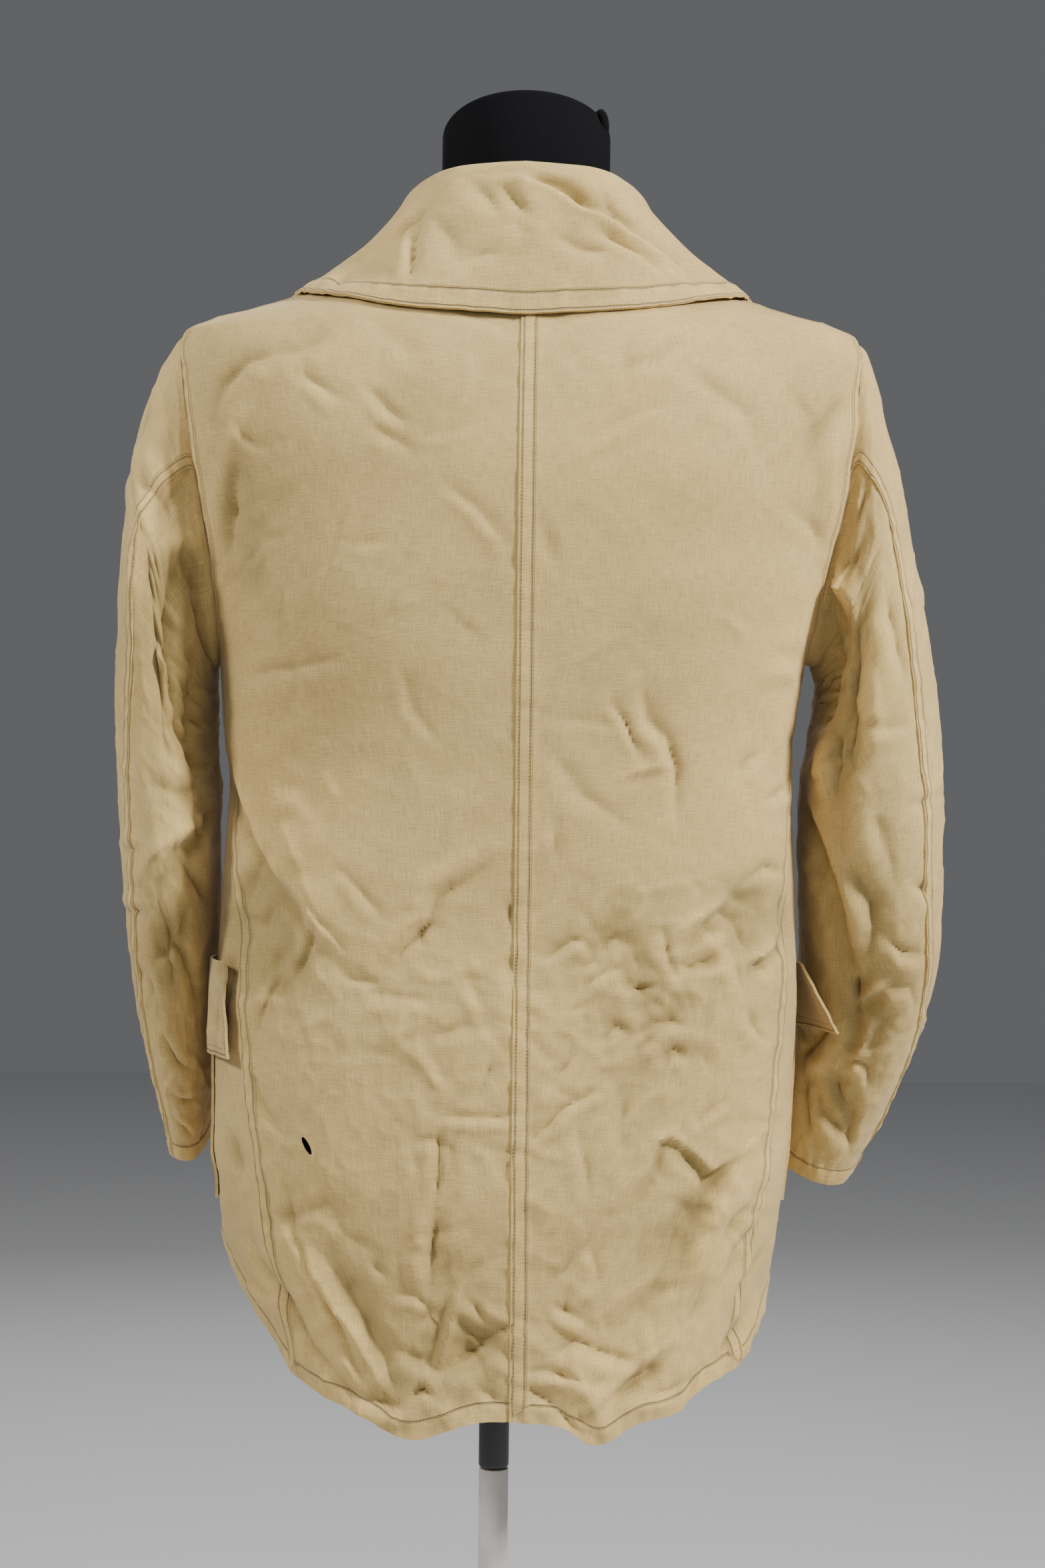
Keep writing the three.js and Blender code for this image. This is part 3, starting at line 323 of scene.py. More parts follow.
# Creases that the wearer and the washing left on the back, as (x, z) lines.
BACK_CREASES = [
    # Slit behind the left pocket flap
    ([(203, 874), (205, 846), (206, 803)], 4, -5, 0),
    # Yoke fold at the left shoulder
    ([(219, 1250), (212, 1274), (194, 1290), (177, 1293)], 6, -4.2, 0.35),
    ([(177, 1293), (155, 1297), (132, 1310)], 7, -2.2, 0.4),
    ([(198, 1225), (203, 1205), (206, 1180), (208, 1154)], 6, -4.5, 0.4),
    ([(193, 1262), (198, 1249), (204, 1231)], 6, 2.5, 0.3),
    ([(198, 1248), (194, 1239), (185, 1234), (175, 1232)], 2.4, -1.6, 0.5),
    ([(154, 1281), (139, 1272), (125, 1262)], 4.5, -1.5, 0.5),
    ([(106, 1267), (93, 1255), (79, 1245)], 5, -2.4, 0.4),
    ([(103, 1243), (87, 1233), (72, 1223)], 5, -1.8, 0.4),
    ([(54, 1205), (30, 1188), (14, 1167), (7, 1147)], 3.5, -1.5, 0.6),
    ([(40, 1323), (19, 1319), (2, 1309)], 5, -1.6, 0.3),
    ([(198, 1145), (186, 1159), (176, 1169), (162, 1171)], 4, -1.2, 0.5),
    ([(104, 1318), (85, 1308), (75, 1289)], 9, -1.5, 0.3),
    # Right shoulder
    ([(-198, 1227), (-208, 1249), (-225, 1273)], 8, -3.2, 0.3),
    ([(-218, 1244), (-216, 1223), (-215, 1200), (-211, 1162)], 4.5, 2.6, 0.5),
    ([(-112, 1290), (-133, 1270), (-154, 1256), (-162, 1230)], 8, -1.4, 0.4),
    ([(-184, 1273), (-202, 1256)], 6, -1.2, 0.3),
    ([(-119, 1326), (-143, 1325)], 8, -1.8, 0.2),
    ([(-65, 1286), (-83, 1291), (-105, 1302)], 7, -1.2, 0.4),
    ([(-185, 1192), (-204, 1181), (-209, 1171)], 5, -1.8, 0.5),
    # Edge of the back over the shaded left side
    ([(205, 1024), (194, 991), (178, 958), (160, 931), (148, 918), (137, 903), (125, 891),
      (110, 876)], 5, 3.6, 0.95),
    ([(149, 922), (137, 907), (124, 892), (110, 875)], 2.6, -2.2, 0.2),
    ([(137, 901), (145, 881), (154, 867), (162, 855)], 4, -2.4, 0.6),
    ([(163, 870), (173, 846), (178, 826)], 3.5, -2.6, 0.6),
    ([(179, 945), (189, 926), (194, 909)], 6, -2.2, 0.5),
    ([(174, 912), (178, 904), (181, 899)], 3, -1.6, 0.5),
    ([(124, 942), (108, 926), (92, 908)], 4, -1.1, 0.5),
    ([(21, 945), (40, 932), (55, 922), (62, 903), (79, 884), (95, 864)], 6, -2.6, 0.55),
    ([(119, 866), (105, 863), (92, 863)], 3, -1.3, 0.4),
    ([(109, 856), (84, 856), (57, 850)], 6, -1.5, 0.4),
    ([(34, 867), (27, 858), (21, 848)], 4, -1.3, 0.4),
    ([(81, 1077), (72, 1051), (57, 1029)], 4, -1.1, 0.4),
    ([(5, 920), (7, 904)], 3, -1.6, 0.3),
    ([(5, 881), (2, 857)], 4, -1.6, 0.3),
    ([(184, 1074), (157, 1078), (127, 1085)], 6, -1.5, 0.4),
    # Right waist
    ([(-63, 1057), (-73, 1040), (-81, 1021)], 3.2, -2.2, 0.6),
    ([(-84, 1063), (-89, 1045), (-102, 1032), (-108, 1013), (-107, 980)], 5.5, -2.8, 0.7),
    ([(-70, 1005), (-88, 1011), (-104, 1014)], 1.8, 1.3, 0.5),
    ([(-173, 991), (-178, 993), (-186, 1000)], 3.6, -3.6, 0.5),
    ([(-147, 1007), (-157, 1018), (-166, 1024)], 5, -2, 0.5),
    ([(-161, 936), (-173, 945), (-185, 939)], 4, -3.4, 0.5),
    ([(-109, 898), (-125, 910), (-143, 923)], 4.5, 3.6, 0.8),
    ([(-139, 916), (-155, 904), (-162, 885)], 13, -6, 0.3),
    ([(-116, 892), (-129, 898), (-145, 901)], 3.8, -3, 0.6),
    ([(-160, 880), (-170, 884), (-181, 892)], 3.6, 3, 0.7),
    ([(-158, 863), (-163, 872), (-174, 877)], 5, -3.2, 0.4),
    ([(-100, 901), (-104, 890), (-106, 880), (-112, 869)], 3.4, -3.2, 0.5),
    ([(-108, 881), (-119, 876), (-137, 882), (-149, 893)], 6, -2.4, 0.4),
    ([(-149, 889), (-153, 871), (-155, 853)], 5, -2, 0.4),
    ([(-51, 885), (-64, 895), (-79, 890), (-83, 878)], 5.5, -3, 0.5),
    ([(-40, 853), (-49, 865), (-61, 874), (-72, 877)], 2.8, -2.8, 0.6),
    ([(-72, 876), (-76, 863), (-86, 862), (-98, 864), (-103, 858)], 3.6, -2.8, 0.5),
    ([(-17, 882), (-32, 892), (-45, 895)], 3.4, -2.2, 0.5),
    ([(-33, 846), (-45, 849)], 2, -1.6, 0.4),
    ([(-42, 876), (-49, 878), (-56, 877)], 2.4, -1.8, 0.4),
    ([(-46, 895), (-49, 888), (-52, 881)], 3, -1.6, 0.4),
    ([(-82, 831), (-92, 838), (-104, 840), (-118, 835)], 5, -3, 0.5),
    ([(-57, 827), (-68, 836), (-79, 831)], 4.5, -2.4, 0.5),
    ([(-185, 925), (-188, 902), (-183, 879)], 5, -1.8, 0.4),
    ([(-160, 847), (-165, 834), (-172, 823)], 4.5, -2.2, 0.5),
    ([(-125, 854), (-131, 840), (-128, 826)], 6, -1.6, 0.4),
    ([(-18, 1026), (-32, 1008), (-46, 990), (-76, 972)], 7, -1.3, 0.4),
    ([(-26, 980), (-25, 949)], 4, -1.2, 0.4),
    ([(-17, 1174), (-22, 1147)], 5, -1.3, 0.4),
    # Lower left
    ([(181, 796), (173, 775), (159, 758)], 3, -2.2, 0.5),
    ([(156, 724), (150, 698), (138, 667), (120, 637), (100, 597)], 6.5, -3.8, 0.2),
    ([(145, 692), (136, 668), (119, 642), (102, 620), (89, 595)], 6.5, 4.6, 0.5),
    ([(132, 680), (108, 650), (86, 608), (80, 591)], 8, -2.6, 0.2),
    ([(183, 687), (170, 664), (152, 645), (144, 629), (126, 606), (108, 586)], 5.5, -3.2, 0.5),
    ([(171, 723), (165, 698), (160, 677)], 4, -1.8, 0.5),
    ([(197, 753), (195, 740), (189, 728)], 8, -3.2, 0.3),
    ([(182, 654), (174, 647), (165, 646)], 3.6, -2.4, 0.6),
    ([(183, 623), (173, 614), (161, 609)], 5, -2, 0.5),
    ([(49, 776), (34, 774), (16, 775), (0, 776)], 1.7, -2.1, 0.8),
    ([(51, 773), (51, 737), (54, 706)], 3.2, -1.7, 0.5),
    ([(50, 708), (54, 694), (57, 661)], 5.5, -3, 0.6),
    ([(36, 668), (38, 646), (45, 625), (54, 599)], 4, 3.4, 0.8),
    ([(33, 654), (25, 648), (17, 639)], 2.6, -2.4, 0.5),
    ([(37, 638), (29, 631), (21, 626), (1, 636)], 3.6, -2.8, 0.5),
    ([(49, 606), (27, 618), (8, 627)], 7.5, -4.4, 0.4),
    ([(80, 655), (65, 653), (55, 644), (66, 636)], 3.8, -2.4, 0.5),
    ([(70, 587), (60, 595), (49, 585)], 4, -2.6, 0.4),
    ([(23, 598), (16, 591), (9, 586)], 3.4, -2.8, 0.4),
    ([(97, 673), (84, 668)], 5, -1.7, 0.4),
    ([(68, 758), (54, 761)], 6, -1.1, 0.2),
    ([(10, 733), (0, 755)], 3, -2, 0.5),
    ([(13, 822), (20, 798), (25, 788)], 4, -1.6, 0.5),
    ([(80, 621), (62, 613), (49, 605)], 6, -1.8, 0.4),
    ([(114, 592), (98, 584), (75, 581)], 5, -2.6, 0.4),
    ([(130, 716), (113, 695), (95, 682)], 7, -1.4, 0.4),
    ([(61, 826), (38, 835), (21, 833)], 6, -1.4, 0.4),
    # Lower right
    ([(-12, 761), (-21, 769), (-31, 781), (-56, 794)], 2.6, -3.2, 0.9),
    ([(-24, 796), (-31, 807), (-38, 818)], 3.4, -2.2, 0.5),
    ([(-78, 819), (-87, 825), (-98, 832)], 4, -2.6, 0.5),
    ([(-99, 816), (-108, 821), (-119, 816)], 4.5, -2.2, 0.5),
    ([(-123, 769), (-131, 777), (-141, 786)], 2, -2.2, 0.8),
    ([(-68, 720), (-85, 738), (-96, 759), (-105, 763), (-117, 754), (-134, 738), (-143, 743),
      (-163, 755), (-174, 765)], 4, 2.6, 0.9),
    ([(-108, 757), (-121, 746), (-134, 734)], 6, -1.6, 0.2),
    ([(-164, 750), (-149, 734), (-139, 716), (-127, 689), (-117, 661)], 5, 3.8, 0.9),
    ([(-154, 739), (-134, 728), (-119, 708), (-105, 685)], 8, -3.6, 0.3),
    ([(-162, 714), (-151, 701), (-142, 682)], 8, -3.6, 0.4),
    ([(-171, 697), (-150, 680), (-144, 659)], 3.4, -2.8, 0.6),
    ([(-175, 677), (-160, 659), (-152, 642)], 4, -2.2, 0.5),
    ([(-97, 653), (-105, 658), (-114, 661)], 3.2, -2.8, 0.6),
    ([(-55, 642), (-74, 658), (-97, 670)], 6, 2.2, 0.8),
    ([(-51, 687), (-55, 676), (-57, 667)], 3.6, -1.7, 0.5),
    ([(-24, 663), (-34, 676), (-52, 698)], 7, -2.2, 0.4),
    ([(-29, 618), (-41, 626), (-61, 619), (-83, 610)], 5, -3.4, 0.7),
    ([(-47, 583), (-58, 589), (-82, 608), (-99, 619), (-109, 625)], 4.5, 4.2, 0.95),
    ([(-65, 588), (-88, 599), (-99, 607)], 7, -4.2, 0.3),
    ([(-8, 605), (-29, 607), (-53, 599)], 3.8, -2.8, 0.6),
    ([(-1, 598), (-13, 594), (-30, 582), (-45, 567)], 5, -3.4, 0.5),
    ([(-24, 654), (-41, 645), (-51, 635)], 6, -2.3, 0.4),
    ([(-139, 604), (-150, 620), (-163, 635)], 5, -2.8, 0.5),
    ([(-113, 630), (-124, 647), (-127, 660)], 6, -2.2, 0.5),
    ([(-81, 589), (-104, 590), (-122, 598)], 5, -2.2, 0.5),
    ([(-43, 769), (-46, 747), (-48, 725)], 4, -1.3, 0.5),
    ([(-75, 792), (-71, 769), (-75, 752)], 6, -1.2, 0.4),
]
FRONT_CREASES = [
    ([(58, 1150), (95, 1175), (140, 1215)], 6, 2.2, 0.4),
    ([(-58, 1152), (-100, 1180), (-150, 1200)], 6, 2.0, 0.4),
    ([(60, 1038), (100, 1030), (150, 1050)], 7, -2.0, 0.4),
    ([(-60, 1040), (-95, 1022), (-150, 1034)], 7, -1.9, 0.4),
    ([(55, 925), (90, 900), (120, 880)], 6, 2.0, 0.4),
    ([(-55, 926), (-85, 900), (-118, 884)], 6, 2.2, 0.4),
    ([(175, 1080), (150, 1020), (140, 960)], 8, -3.0, 0.4),
    ([(-178, 1085), (-160, 1010), (-150, 950)], 8, -2.8, 0.4),
    ([(60, 860), (58, 800), (50, 730)], 7, 1.9, 0.5),
    ([(-20, 870), (-30, 780), (-25, 700)], 8, -1.9, 0.4),
    ([(20, 1120), (0, 1100), (-25, 1094)], 4, -1.4, 0.4),
    ([(30, 1010), (5, 985), (-20, 980)], 4, -1.4, 0.4),
    ([(150, 690), (120, 670), (80, 665)], 6, 2.0, 0.4),
    ([(-140, 690), (-115, 668), (-70, 668)], 6, 1.9, 0.4),
]
back_creases = BODY_FOLDS_BACK + BACK_CREASES
back_creases += small_creases(3, 110, (-190, 570), (190, 900), (2.6, 6.0), (0.3, 1.1), 60, 40)
back_creases += small_creases(4, 60, (-200, 900), (200, 1320), (3.0, 7.0), (0.2, 0.7), 110, 45)
front_creases = BODY_FOLDS_FRONT + FRONT_CREASES
front_creases += small_creases(5, 150, (-200, 640), (200, 1300), (3.0, 7.0), (0.3, 0.9), 80, 45)


def body_lift(point):
    """How far the folds, creases and crinkles move the body's surface."""
    x = point[..., 0]
    z = point[..., 2]
    behind = point[..., 1] > 0
    back = crease_height(back_creases, x, z)
    front = crease_height(front_creases, x, z)
    # Crinkles are strongest towards the hem and at the right waist
    low = 1 - smooth(860, 960, z)
    waist = np.exp(-(((x + 90) / 80) ** 2) - (((z - 860) / 60) ** 2))
    rough = 0.35 + 0.75 * low + 1.3 * waist
    fine = 0.65 * crinkle(x, z, 12, 31) + 1.1 * crinkle(x * 0.8 + z * 0.6, z * 0.8 - x * 0.6, 26, 32)
    wave = 2.4 * (lattice_noise(x, z, 75, 33) - 0.5) + 1.3 * (lattice_noise(x, z, 38, 34) - 0.5)
    lift = np.where(behind, back, front) + rough * fine + wave
    lift = lift * smooth(0, 45, np.abs(point[..., 1]))
    # The cloth lies close where the form's shoulders carry it
    on_form = smooth(1285, 1318, z)
    return mix(lift, np.clip(lift, -1.2, 1.2), on_form)


def body_point(turn, z, out):
    """The body's surface with its folds and creases, moved out."""
    point = plain_body(turn, z)
    normal = normal_of(plain_body, turn, z, 0.5, 0.5)
    lift = body_lift(point)
    return point + normal * (lift + out)[..., None], normal, lift


# Panels of the body. Rows run from the hem to the armpit, along the armhole and along the shoulder.
SKIRT_ROWS = 14
SHOULDER_ROWS = 5
TOP_TURNS = np.linspace(-118, 86, 11)
UNDER_TURNS = np.concatenate([np.linspace(86, 180, 6), np.linspace(180, 242, 4)[1:]])
SHOULDER_TURN = TOP_TURNS[7]
BACK_TURNS = np.concatenate([UNDER_TURNS[:6][::-1], TOP_TURNS[7:10][::-1]])
FRONT_TURNS = np.concatenate([UNDER_TURNS[5:] - 360, TOP_TURNS[1:8]])
BACK = {"turns": BACK_TURNS, "rows": SKIRT_ROWS + len(BACK_TURNS) - 1 + SHOULDER_ROWS}
FRONT = {"turns": FRONT_TURNS, "rows": SKIRT_ROWS + len(FRONT_TURNS) - 1 + SHOULDER_ROWS}


def outer_edge(row, side, panel):
    seam = seam_left if side > 0 else seam_right
    low = mix(hem_z(side * seam(590)), ARMPIT_Z, np.clip(row / SKIRT_ROWS, 0, 1))
    low_turn = side * seam(low)
    at = np.clip(row - SKIRT_ROWS, 0, len(panel["turns"]) - 1)
    hole_turn = np.interp(at, np.arange(len(panel["turns"])), panel["turns"])
    mid_turn, mid = armhole_point(hole_turn, side)
    start = armhole_point(SHOULDER_TURN, side)[1]
    share = np.clip((row - panel["rows"]) / SHOULDER_ROWS + 1, 0, 1)
    high = mix(start, NECK_SIDE_Z, share ** 0.9)
    high_turn = side * turn_of_y(shoulder_seam_y(high), high)
    on_hole = row > SKIRT_ROWS
    on_shoulder = row > panel["rows"] - SHOULDER_ROWS
    turn = np.where(on_shoulder, high_turn, np.where(on_hole, mid_turn, low_turn))
    return turn, np.where(on_shoulder, high, np.where(on_hole, mid, low))


def row_height(row, panel, marks):
    end = panel["rows"] - SHOULDER_ROWS
    return np.interp(row, [0, SKIRT_ROWS, end, panel["rows"]], marks)


def centre_back(row, side):
    z = row_height(row, BACK, [hem_z(0), ARMPIT_Z, 1292, NECK_BACK_Z])
    return np.zeros(z.shape), z


def roll_x(z, side):
    roll = mix(-LAP, 66, np.clip((z - BREAK_Z) / (LAPEL_TOP_Z - BREAK_Z), 0, 1))
    return roll if side > 0 else np.maximum(roll, -UNDER_LAP)


def front_edge(row, side):
    z = row_height(row, FRONT, [hem_z(180), 1080, 1296, LAPEL_TOP_Z])
    x = roll_x(z, side)
    away = turn_of_x(np.abs(x), z)
    return side * np.where(x >= 0, away, 360 - away), z


def under_lap(side):
    return lambda turn: 0 if side > 0 else -UNDER_DEPTH * smooth(140, 158, turn)


def panel_place(panel, side, inner, row, s, laps=(0, 0)):
    """Turn and height of a place on a body panel: its row, and how far it lies from the inner edge.

    The panel goes past its inner and its outer seam by the two laps.
    """
    a_turn, a_z = inner(row, side)
    b_turn, b_z = outer_edge(row, side, panel)
    width = length(plain_body(a_turn, a_z) - plain_body(b_turn, b_z))[..., 0]
    s = mix(-laps[0] / width, 1 + laps[1] / width, s)
    first = np.zeros(row.shape)
    last = np.full(row.shape, float(panel["rows"]))
    turn = mix(a_turn, b_turn, s)
    wrapped = (turn + 180) % 360 - 180
    at_hem = mix(inner(first, side)[1], outer_edge(first, side, panel)[1], s)
    at_neck = mix(inner(last, side)[1], outer_edge(last, side, panel)[1], s)
    hem_share = 1 - smooth(0, SKIRT_ROWS * 0.45, row)
    neck_share = smooth(panel["rows"] - SHOULDER_ROWS, panel["rows"], row)
    z = mix(a_z, b_z, s)
    z = z + hem_share * (hem_z(wrapped) - at_hem) + neck_share * (neck_z(np.abs(wrapped)) - at_neck)
    return turn, z


def fine_rows(panel, skirt, hole, shoulder):
    """Even steps up a panel: so many in each of its rows below, beside and above the armhole."""
    end = panel["rows"] - SHOULDER_ROWS
    return np.concatenate([
        np.arange(0, SKIRT_ROWS, 1 / skirt),
        np.arange(SKIRT_ROWS, end, 1 / hole),
        np.linspace(end, panel["rows"], SHOULDER_ROWS * shoulder + 1),
    ])


# The sleeves: outer x and z, inner x and z, middle y, half depth, pitch, armhole to cuff.
LEFT_SLEEVE = np.array([
    (252, 1320, 221, 1089, 1, 53, 0),
    (261, 1304, 221.5, 1085, 1, 59, 0),
    (274, 1268, 222.5, 1079, 1, 66, 0),
    (282, 1225, 223, 1068, 0, 74, 0),
    (287, 1174, 223, 1050, -1, 80, 1),
    (290, 1118, 222, 1024, -5, 83, 3),
    (292, 1062, 221, 992, -10, 84, 5),
    (291, 1008, 221, 955, -16, 83, 7),
    (288, 958, 222, 917, -23, 81, 9),
    (286, 912, 223, 880, -32, 77, 12),
    (283, 868, 224, 842, -43, 72, 14),
    (277, 826, 226, 806, -55, 67, 16),
    (269, 786, 229, 772, -69, 63, 17),
    (260, 742, 232, 735, -86, 59, 18),
])
RIGHT_SLEEVE = np.array([
    (249, 1320, 218, 1089, 1, 53, 0),
    (258, 1303, 224, 1086, 1, 59, 0),
    (262, 1266, 217, 1081, 1, 66, 0),
    (271, 1226, 217, 1071, 0, 73, 0),
    (281, 1176, 215, 1054, -1, 78, 1),
    (293, 1118, 211, 1030, -4, 80, 2),
    (302, 1060, 207, 1000, -9, 80, 4),
    (308, 1004, 206, 966, -15, 79, 6),
    (310, 948, 208, 928, -26, 76, 10),
    (312, 892, 211, 890, -42, 72, 15),
    (306, 842, 212, 850, -62, 68, 18),
    (293, 798, 210, 812, -82, 64, 19),
    (277, 758, 204, 774, -100, 61, 20),
    (258, 716, 196, 732, -117, 58, 20),
])
SLEEVE_SQUARE = 2.25
SECTIONS = len(LEFT_SLEEVE) - 1
MM_PER_SECTION = 46
MM_PER_DEGREE = 1.15

# section, turn of the back seam on the left and right sleeve, turn of the front seam
SLEEVE_SEAMS = np.array([
    (0, 86, 86, -118),
    (1.5, 80, 75, -116),
    (3, 68, 62, -114),
    (5, 66, 62, -112),
    (9, 60, 52, -110),
    (11, 62, 38, -109),
    (13, 74, 24, -108),
])
seam_at = [curve(SLEEVE_SEAMS, k) for k in (1, 2, 3)]


def sleeve_table(rows):
    numbered = np.column_stack([np.arange(len(rows)), rows])
    return [curve(numbered, k) for k in range(1, 8)]


sleeve_tables = {1: sleeve_table(LEFT_SLEEVE), -1: sleeve_table(RIGHT_SLEEVE)}


def fold(at1, turn1, at2, turn2, width, height):
    ends = [(at1 * MM_PER_SECTION, turn1 * MM_PER_DEGREE), (at2 * MM_PER_SECTION, turn2 * MM_PER_DEGREE)]
    return (ends, width, height, 0)


def sleeve_crease(places, width, height, lean=0.4):
    line = [(at * MM_PER_SECTION, turn * MM_PER_DEGREE) for at, turn in places]
    return (line, width, height, lean)


# Folds as the solids have them, then the finer ones, as (section, turn) lines.
SLEEVE_CREASES = {
    1: [
        fold(3.2, 78, 5.6, 100, 20, -9),
        fold(2.2, 70, 4.8, 62, 16, 6),
        fold(8.2, 130, 9.4, 80, 20, -6),
        fold(3.2, -70, 6.0, -100, 22, -6),
        fold(8.0, -60, 9.0, -120, 20, -6),
        # Cap and underarm
        sleeve_crease([(2.75, 44), (2.45, 71), (2.18, 82)], 5, -3.4, 0.5),
        sleeve_crease([(2.8, 75), (2.3, 80), (1.78, 84), (0.5, 87)], 5, -2.2, 0.6),
        sleeve_crease([(0.62, 111), (1.23, 107), (1.9, 97), (2.45, 90), (2.9, 86)], 6, 4.6, 0.9),
        sleeve_crease([(2.02, 102), (2.65, 106), (3.53, 109), (4.53, 119), (5.4, 135)], 19, -14, 0.1),
        sleeve_crease([(1.45, 114), (1.8, 133), (1.95, 162)], 17, -11, 0),
        sleeve_crease([(2.6, 142), (4.2, 146), (6.2, 148)], 24, -11, 0),
        sleeve_crease([(3.4, 80), (3.35, 86), (3.4, 90)], 3.6, -3.4, 0.5),
        sleeve_crease([(4.48, 85), (4.42, 95), (4.3, 107), (4.58, 115), (4.98, 118)], 5.5, 3.4, 0.8),
        sleeve_crease([(5.6, 89), (5.43, 103), (5.1, 121)], 5, -1.6, 0.5),
        sleeve_crease([(2.93, 21), (3, 47), (3.15, 69)], 7, -2, 0.4),
        sleeve_crease([(2.6, 17), (2.4, 22), (1.9, 41)], 7, -1.8, 0.4),
        # Elbow
        sleeve_crease([(6.5, 148), (6.75, 126), (7.1, 106), (7.53, 89), (7.88, 78)], 7, 6, 1),
        sleeve_crease([(7.33, 121), (7.62, 135), (8, 157)], 9, -4, 0.3),
        sleeve_crease([(7.95, 26), (7.73, 58), (7.62, 74)], 3, -2.4, 0.6),
        sleeve_crease([(8.95, 24), (8.72, 54), (8.53, 72)], 4, -2.4, 0.6),
        sleeve_crease([(8.03, 88), (8.68, 99), (9.55, 105)], 8, -1.8, 0.5),
        sleeve_crease([(8.65, 103), (9.03, 124), (9.78, 136)], 9, -3, 0.4),
        sleeve_crease([(10.62, 90), (10.95, 102), (11.08, 120)], 5, -2, 0.5),
        sleeve_crease([(11.73, 87), (11.8, 107), (11.73, 134)], 4, -1.8, 0.5),
        sleeve_crease([(12.25, 87), (12.35, 103), (12.5, 116)], 3.5, -1.8, 0.5),
        sleeve_crease([(9.53, 65), (9.65, 76), (9.93, 84)], 4, -1.4, 0.5),
        sleeve_crease([(6.5, 90), (6.35, 111), (5.95, 144)], 8, -2, 0.5),
    ],
    -1: [
        fold(3.0, 112, 6.2, 118, 20, -10),
        fold(3.6, 92, 6.0, 96, 18, 6),
        fold(8.6, 128, 10.6, 84, 20, -8),
        fold(10.8, 122, 12.2, 70, 17, -6),
        fold(3.2, -70, 6.0, -100, 22, -6),
        fold(8.6, -50, 9.6, -120, 20, -7),
        # Under the arm
        sleeve_crease([(0.7, 109), (1.88, 112), (2.8, 107), (3.4, 117)], 8, 4.6, 0.35),
        sleeve_crease([(3.6, 126), (4.5, 120), (5.28, 100)], 7, 3.4, 0.35),
        sleeve_crease([(0.3, 124), (1.38, 136), (2.58, 146), (3.6, 152), (4.8, 154)], 22, -13, 0),
        sleeve_crease([(1.58, 110), (2.05, 100), (2.38, 91)], 4.5, -3, 0.5),
        sleeve_crease([(3.9, 79), (4.7, 73), (5.25, 70)], 8, -3.4, 0.4),
        sleeve_crease([(3.6, 98), (4.42, 94), (5.08, 92)], 7, -2.2, 0.5),
        sleeve_crease([(3.8, 146), (3.65, 167), (3.9, 168)], 4, -2.4, 0.6),
        sleeve_crease([(3.12, 146), (2.8, 162), (3.15, 168)], 3, -1.8, 0.6),
        sleeve_crease([(1.78, 94), (1.85, 87), (1.98, 78)], 5, -1.8, 0.5),
        sleeve_crease([(4.9, 143), (5.78, 129), (6.33, 130)], 8, -6.5, 0.6),
        sleeve_crease([(4.98, 130), (5.48, 122), (6.03, 113)], 3, -1.8, 0.5),
        sleeve_crease([(5.28, 107), (5.68, 87), (5.83, 71)], 4, -1.6, 0.5),
        # Forearm
        sleeve_crease([(6.35, 168), (7.2, 143), (7.9, 127), (8.53, 119), (9.05, 113)], 17, -7, 0),
        sleeve_crease([(6.2, 161), (7.08, 134), (7.78, 121), (8.43, 111), (9.03, 105)], 8, 3.2, 0.2),
        sleeve_crease([(7.53, 113), (8.08, 99), (8.45, 95), (8.8, 98)], 8, -4.2, 0.5),
        sleeve_crease([(6.62, 97), (7.28, 89), (7.85, 82)], 8, -2, 0.5),
        sleeve_crease([(8.58, 89), (8.83, 77), (8.93, 57)], 4.5, -3, 0.6),
        sleeve_crease([(8, 66), (8.1, 57), (8.25, 50)], 4, -3, 0.5),
        sleeve_crease([(9.28, 112), (9.62, 102)], 5, -4.4, 0.4),
        sleeve_crease([(9.6, 102), (9.43, 97), (9.3, 89)], 5, 4, 0.8),
        sleeve_crease([(9.65, 100), (9.95, 93), (10.33, 93), (10.6, 96)], 5.5, 5.2, 1),
        sleeve_crease([(9.38, 89), (9.33, 75), (9.35, 65), (9.62, 58)], 4, -3.4, 0.6),
        sleeve_crease([(10.7, 108), (10.65, 95), (10.78, 87), (11.08, 79)], 4, -3.2, 0.7),
        sleeve_crease([(11, 151), (10.58, 138), (10.25, 126)], 8, -4.5, 0.4),
        sleeve_crease([(11.5, 126), (11.78, 112), (11.95, 95), (12.23, 70)], 4.5, -3.6, 0.6),
        sleeve_crease([(11.12, 118), (11.43, 98), (11.75, 78)], 5, -2.2, 0.5),
        sleeve_crease([(11.33, 146), (11.75, 135), (12.15, 120)], 7, -4, 0.4),
        sleeve_crease([(10.2, 92), (9.95, 84), (9.7, 71)], 6, -2, 0.5),
        # Cuff
        sleeve_crease([(12.58, 130), (12.9, 128)], 3, -1.8, 0.5),
        sleeve_crease([(12.55, 117), (12.88, 112)], 3, -1.8, 0.5),
        sleeve_crease([(12.58, 104), (12.93, 98)], 3, -1.6, 0.5),
        sleeve_crease([(12.6, 92), (12.98, 84)], 3, -1.8, 0.5),
        sleeve_crease([(12.62, 80), (13, 68)], 3, -1.2, 0.5),
    ],
}
for side, seed in ((1, 11), (-1, 12)):
    SLEEVE_CREASES[side] += small_creases(seed, 90, (60, -200), (590, 200), (2.6, 6.5), (0.3, 1.2), 100, 40)


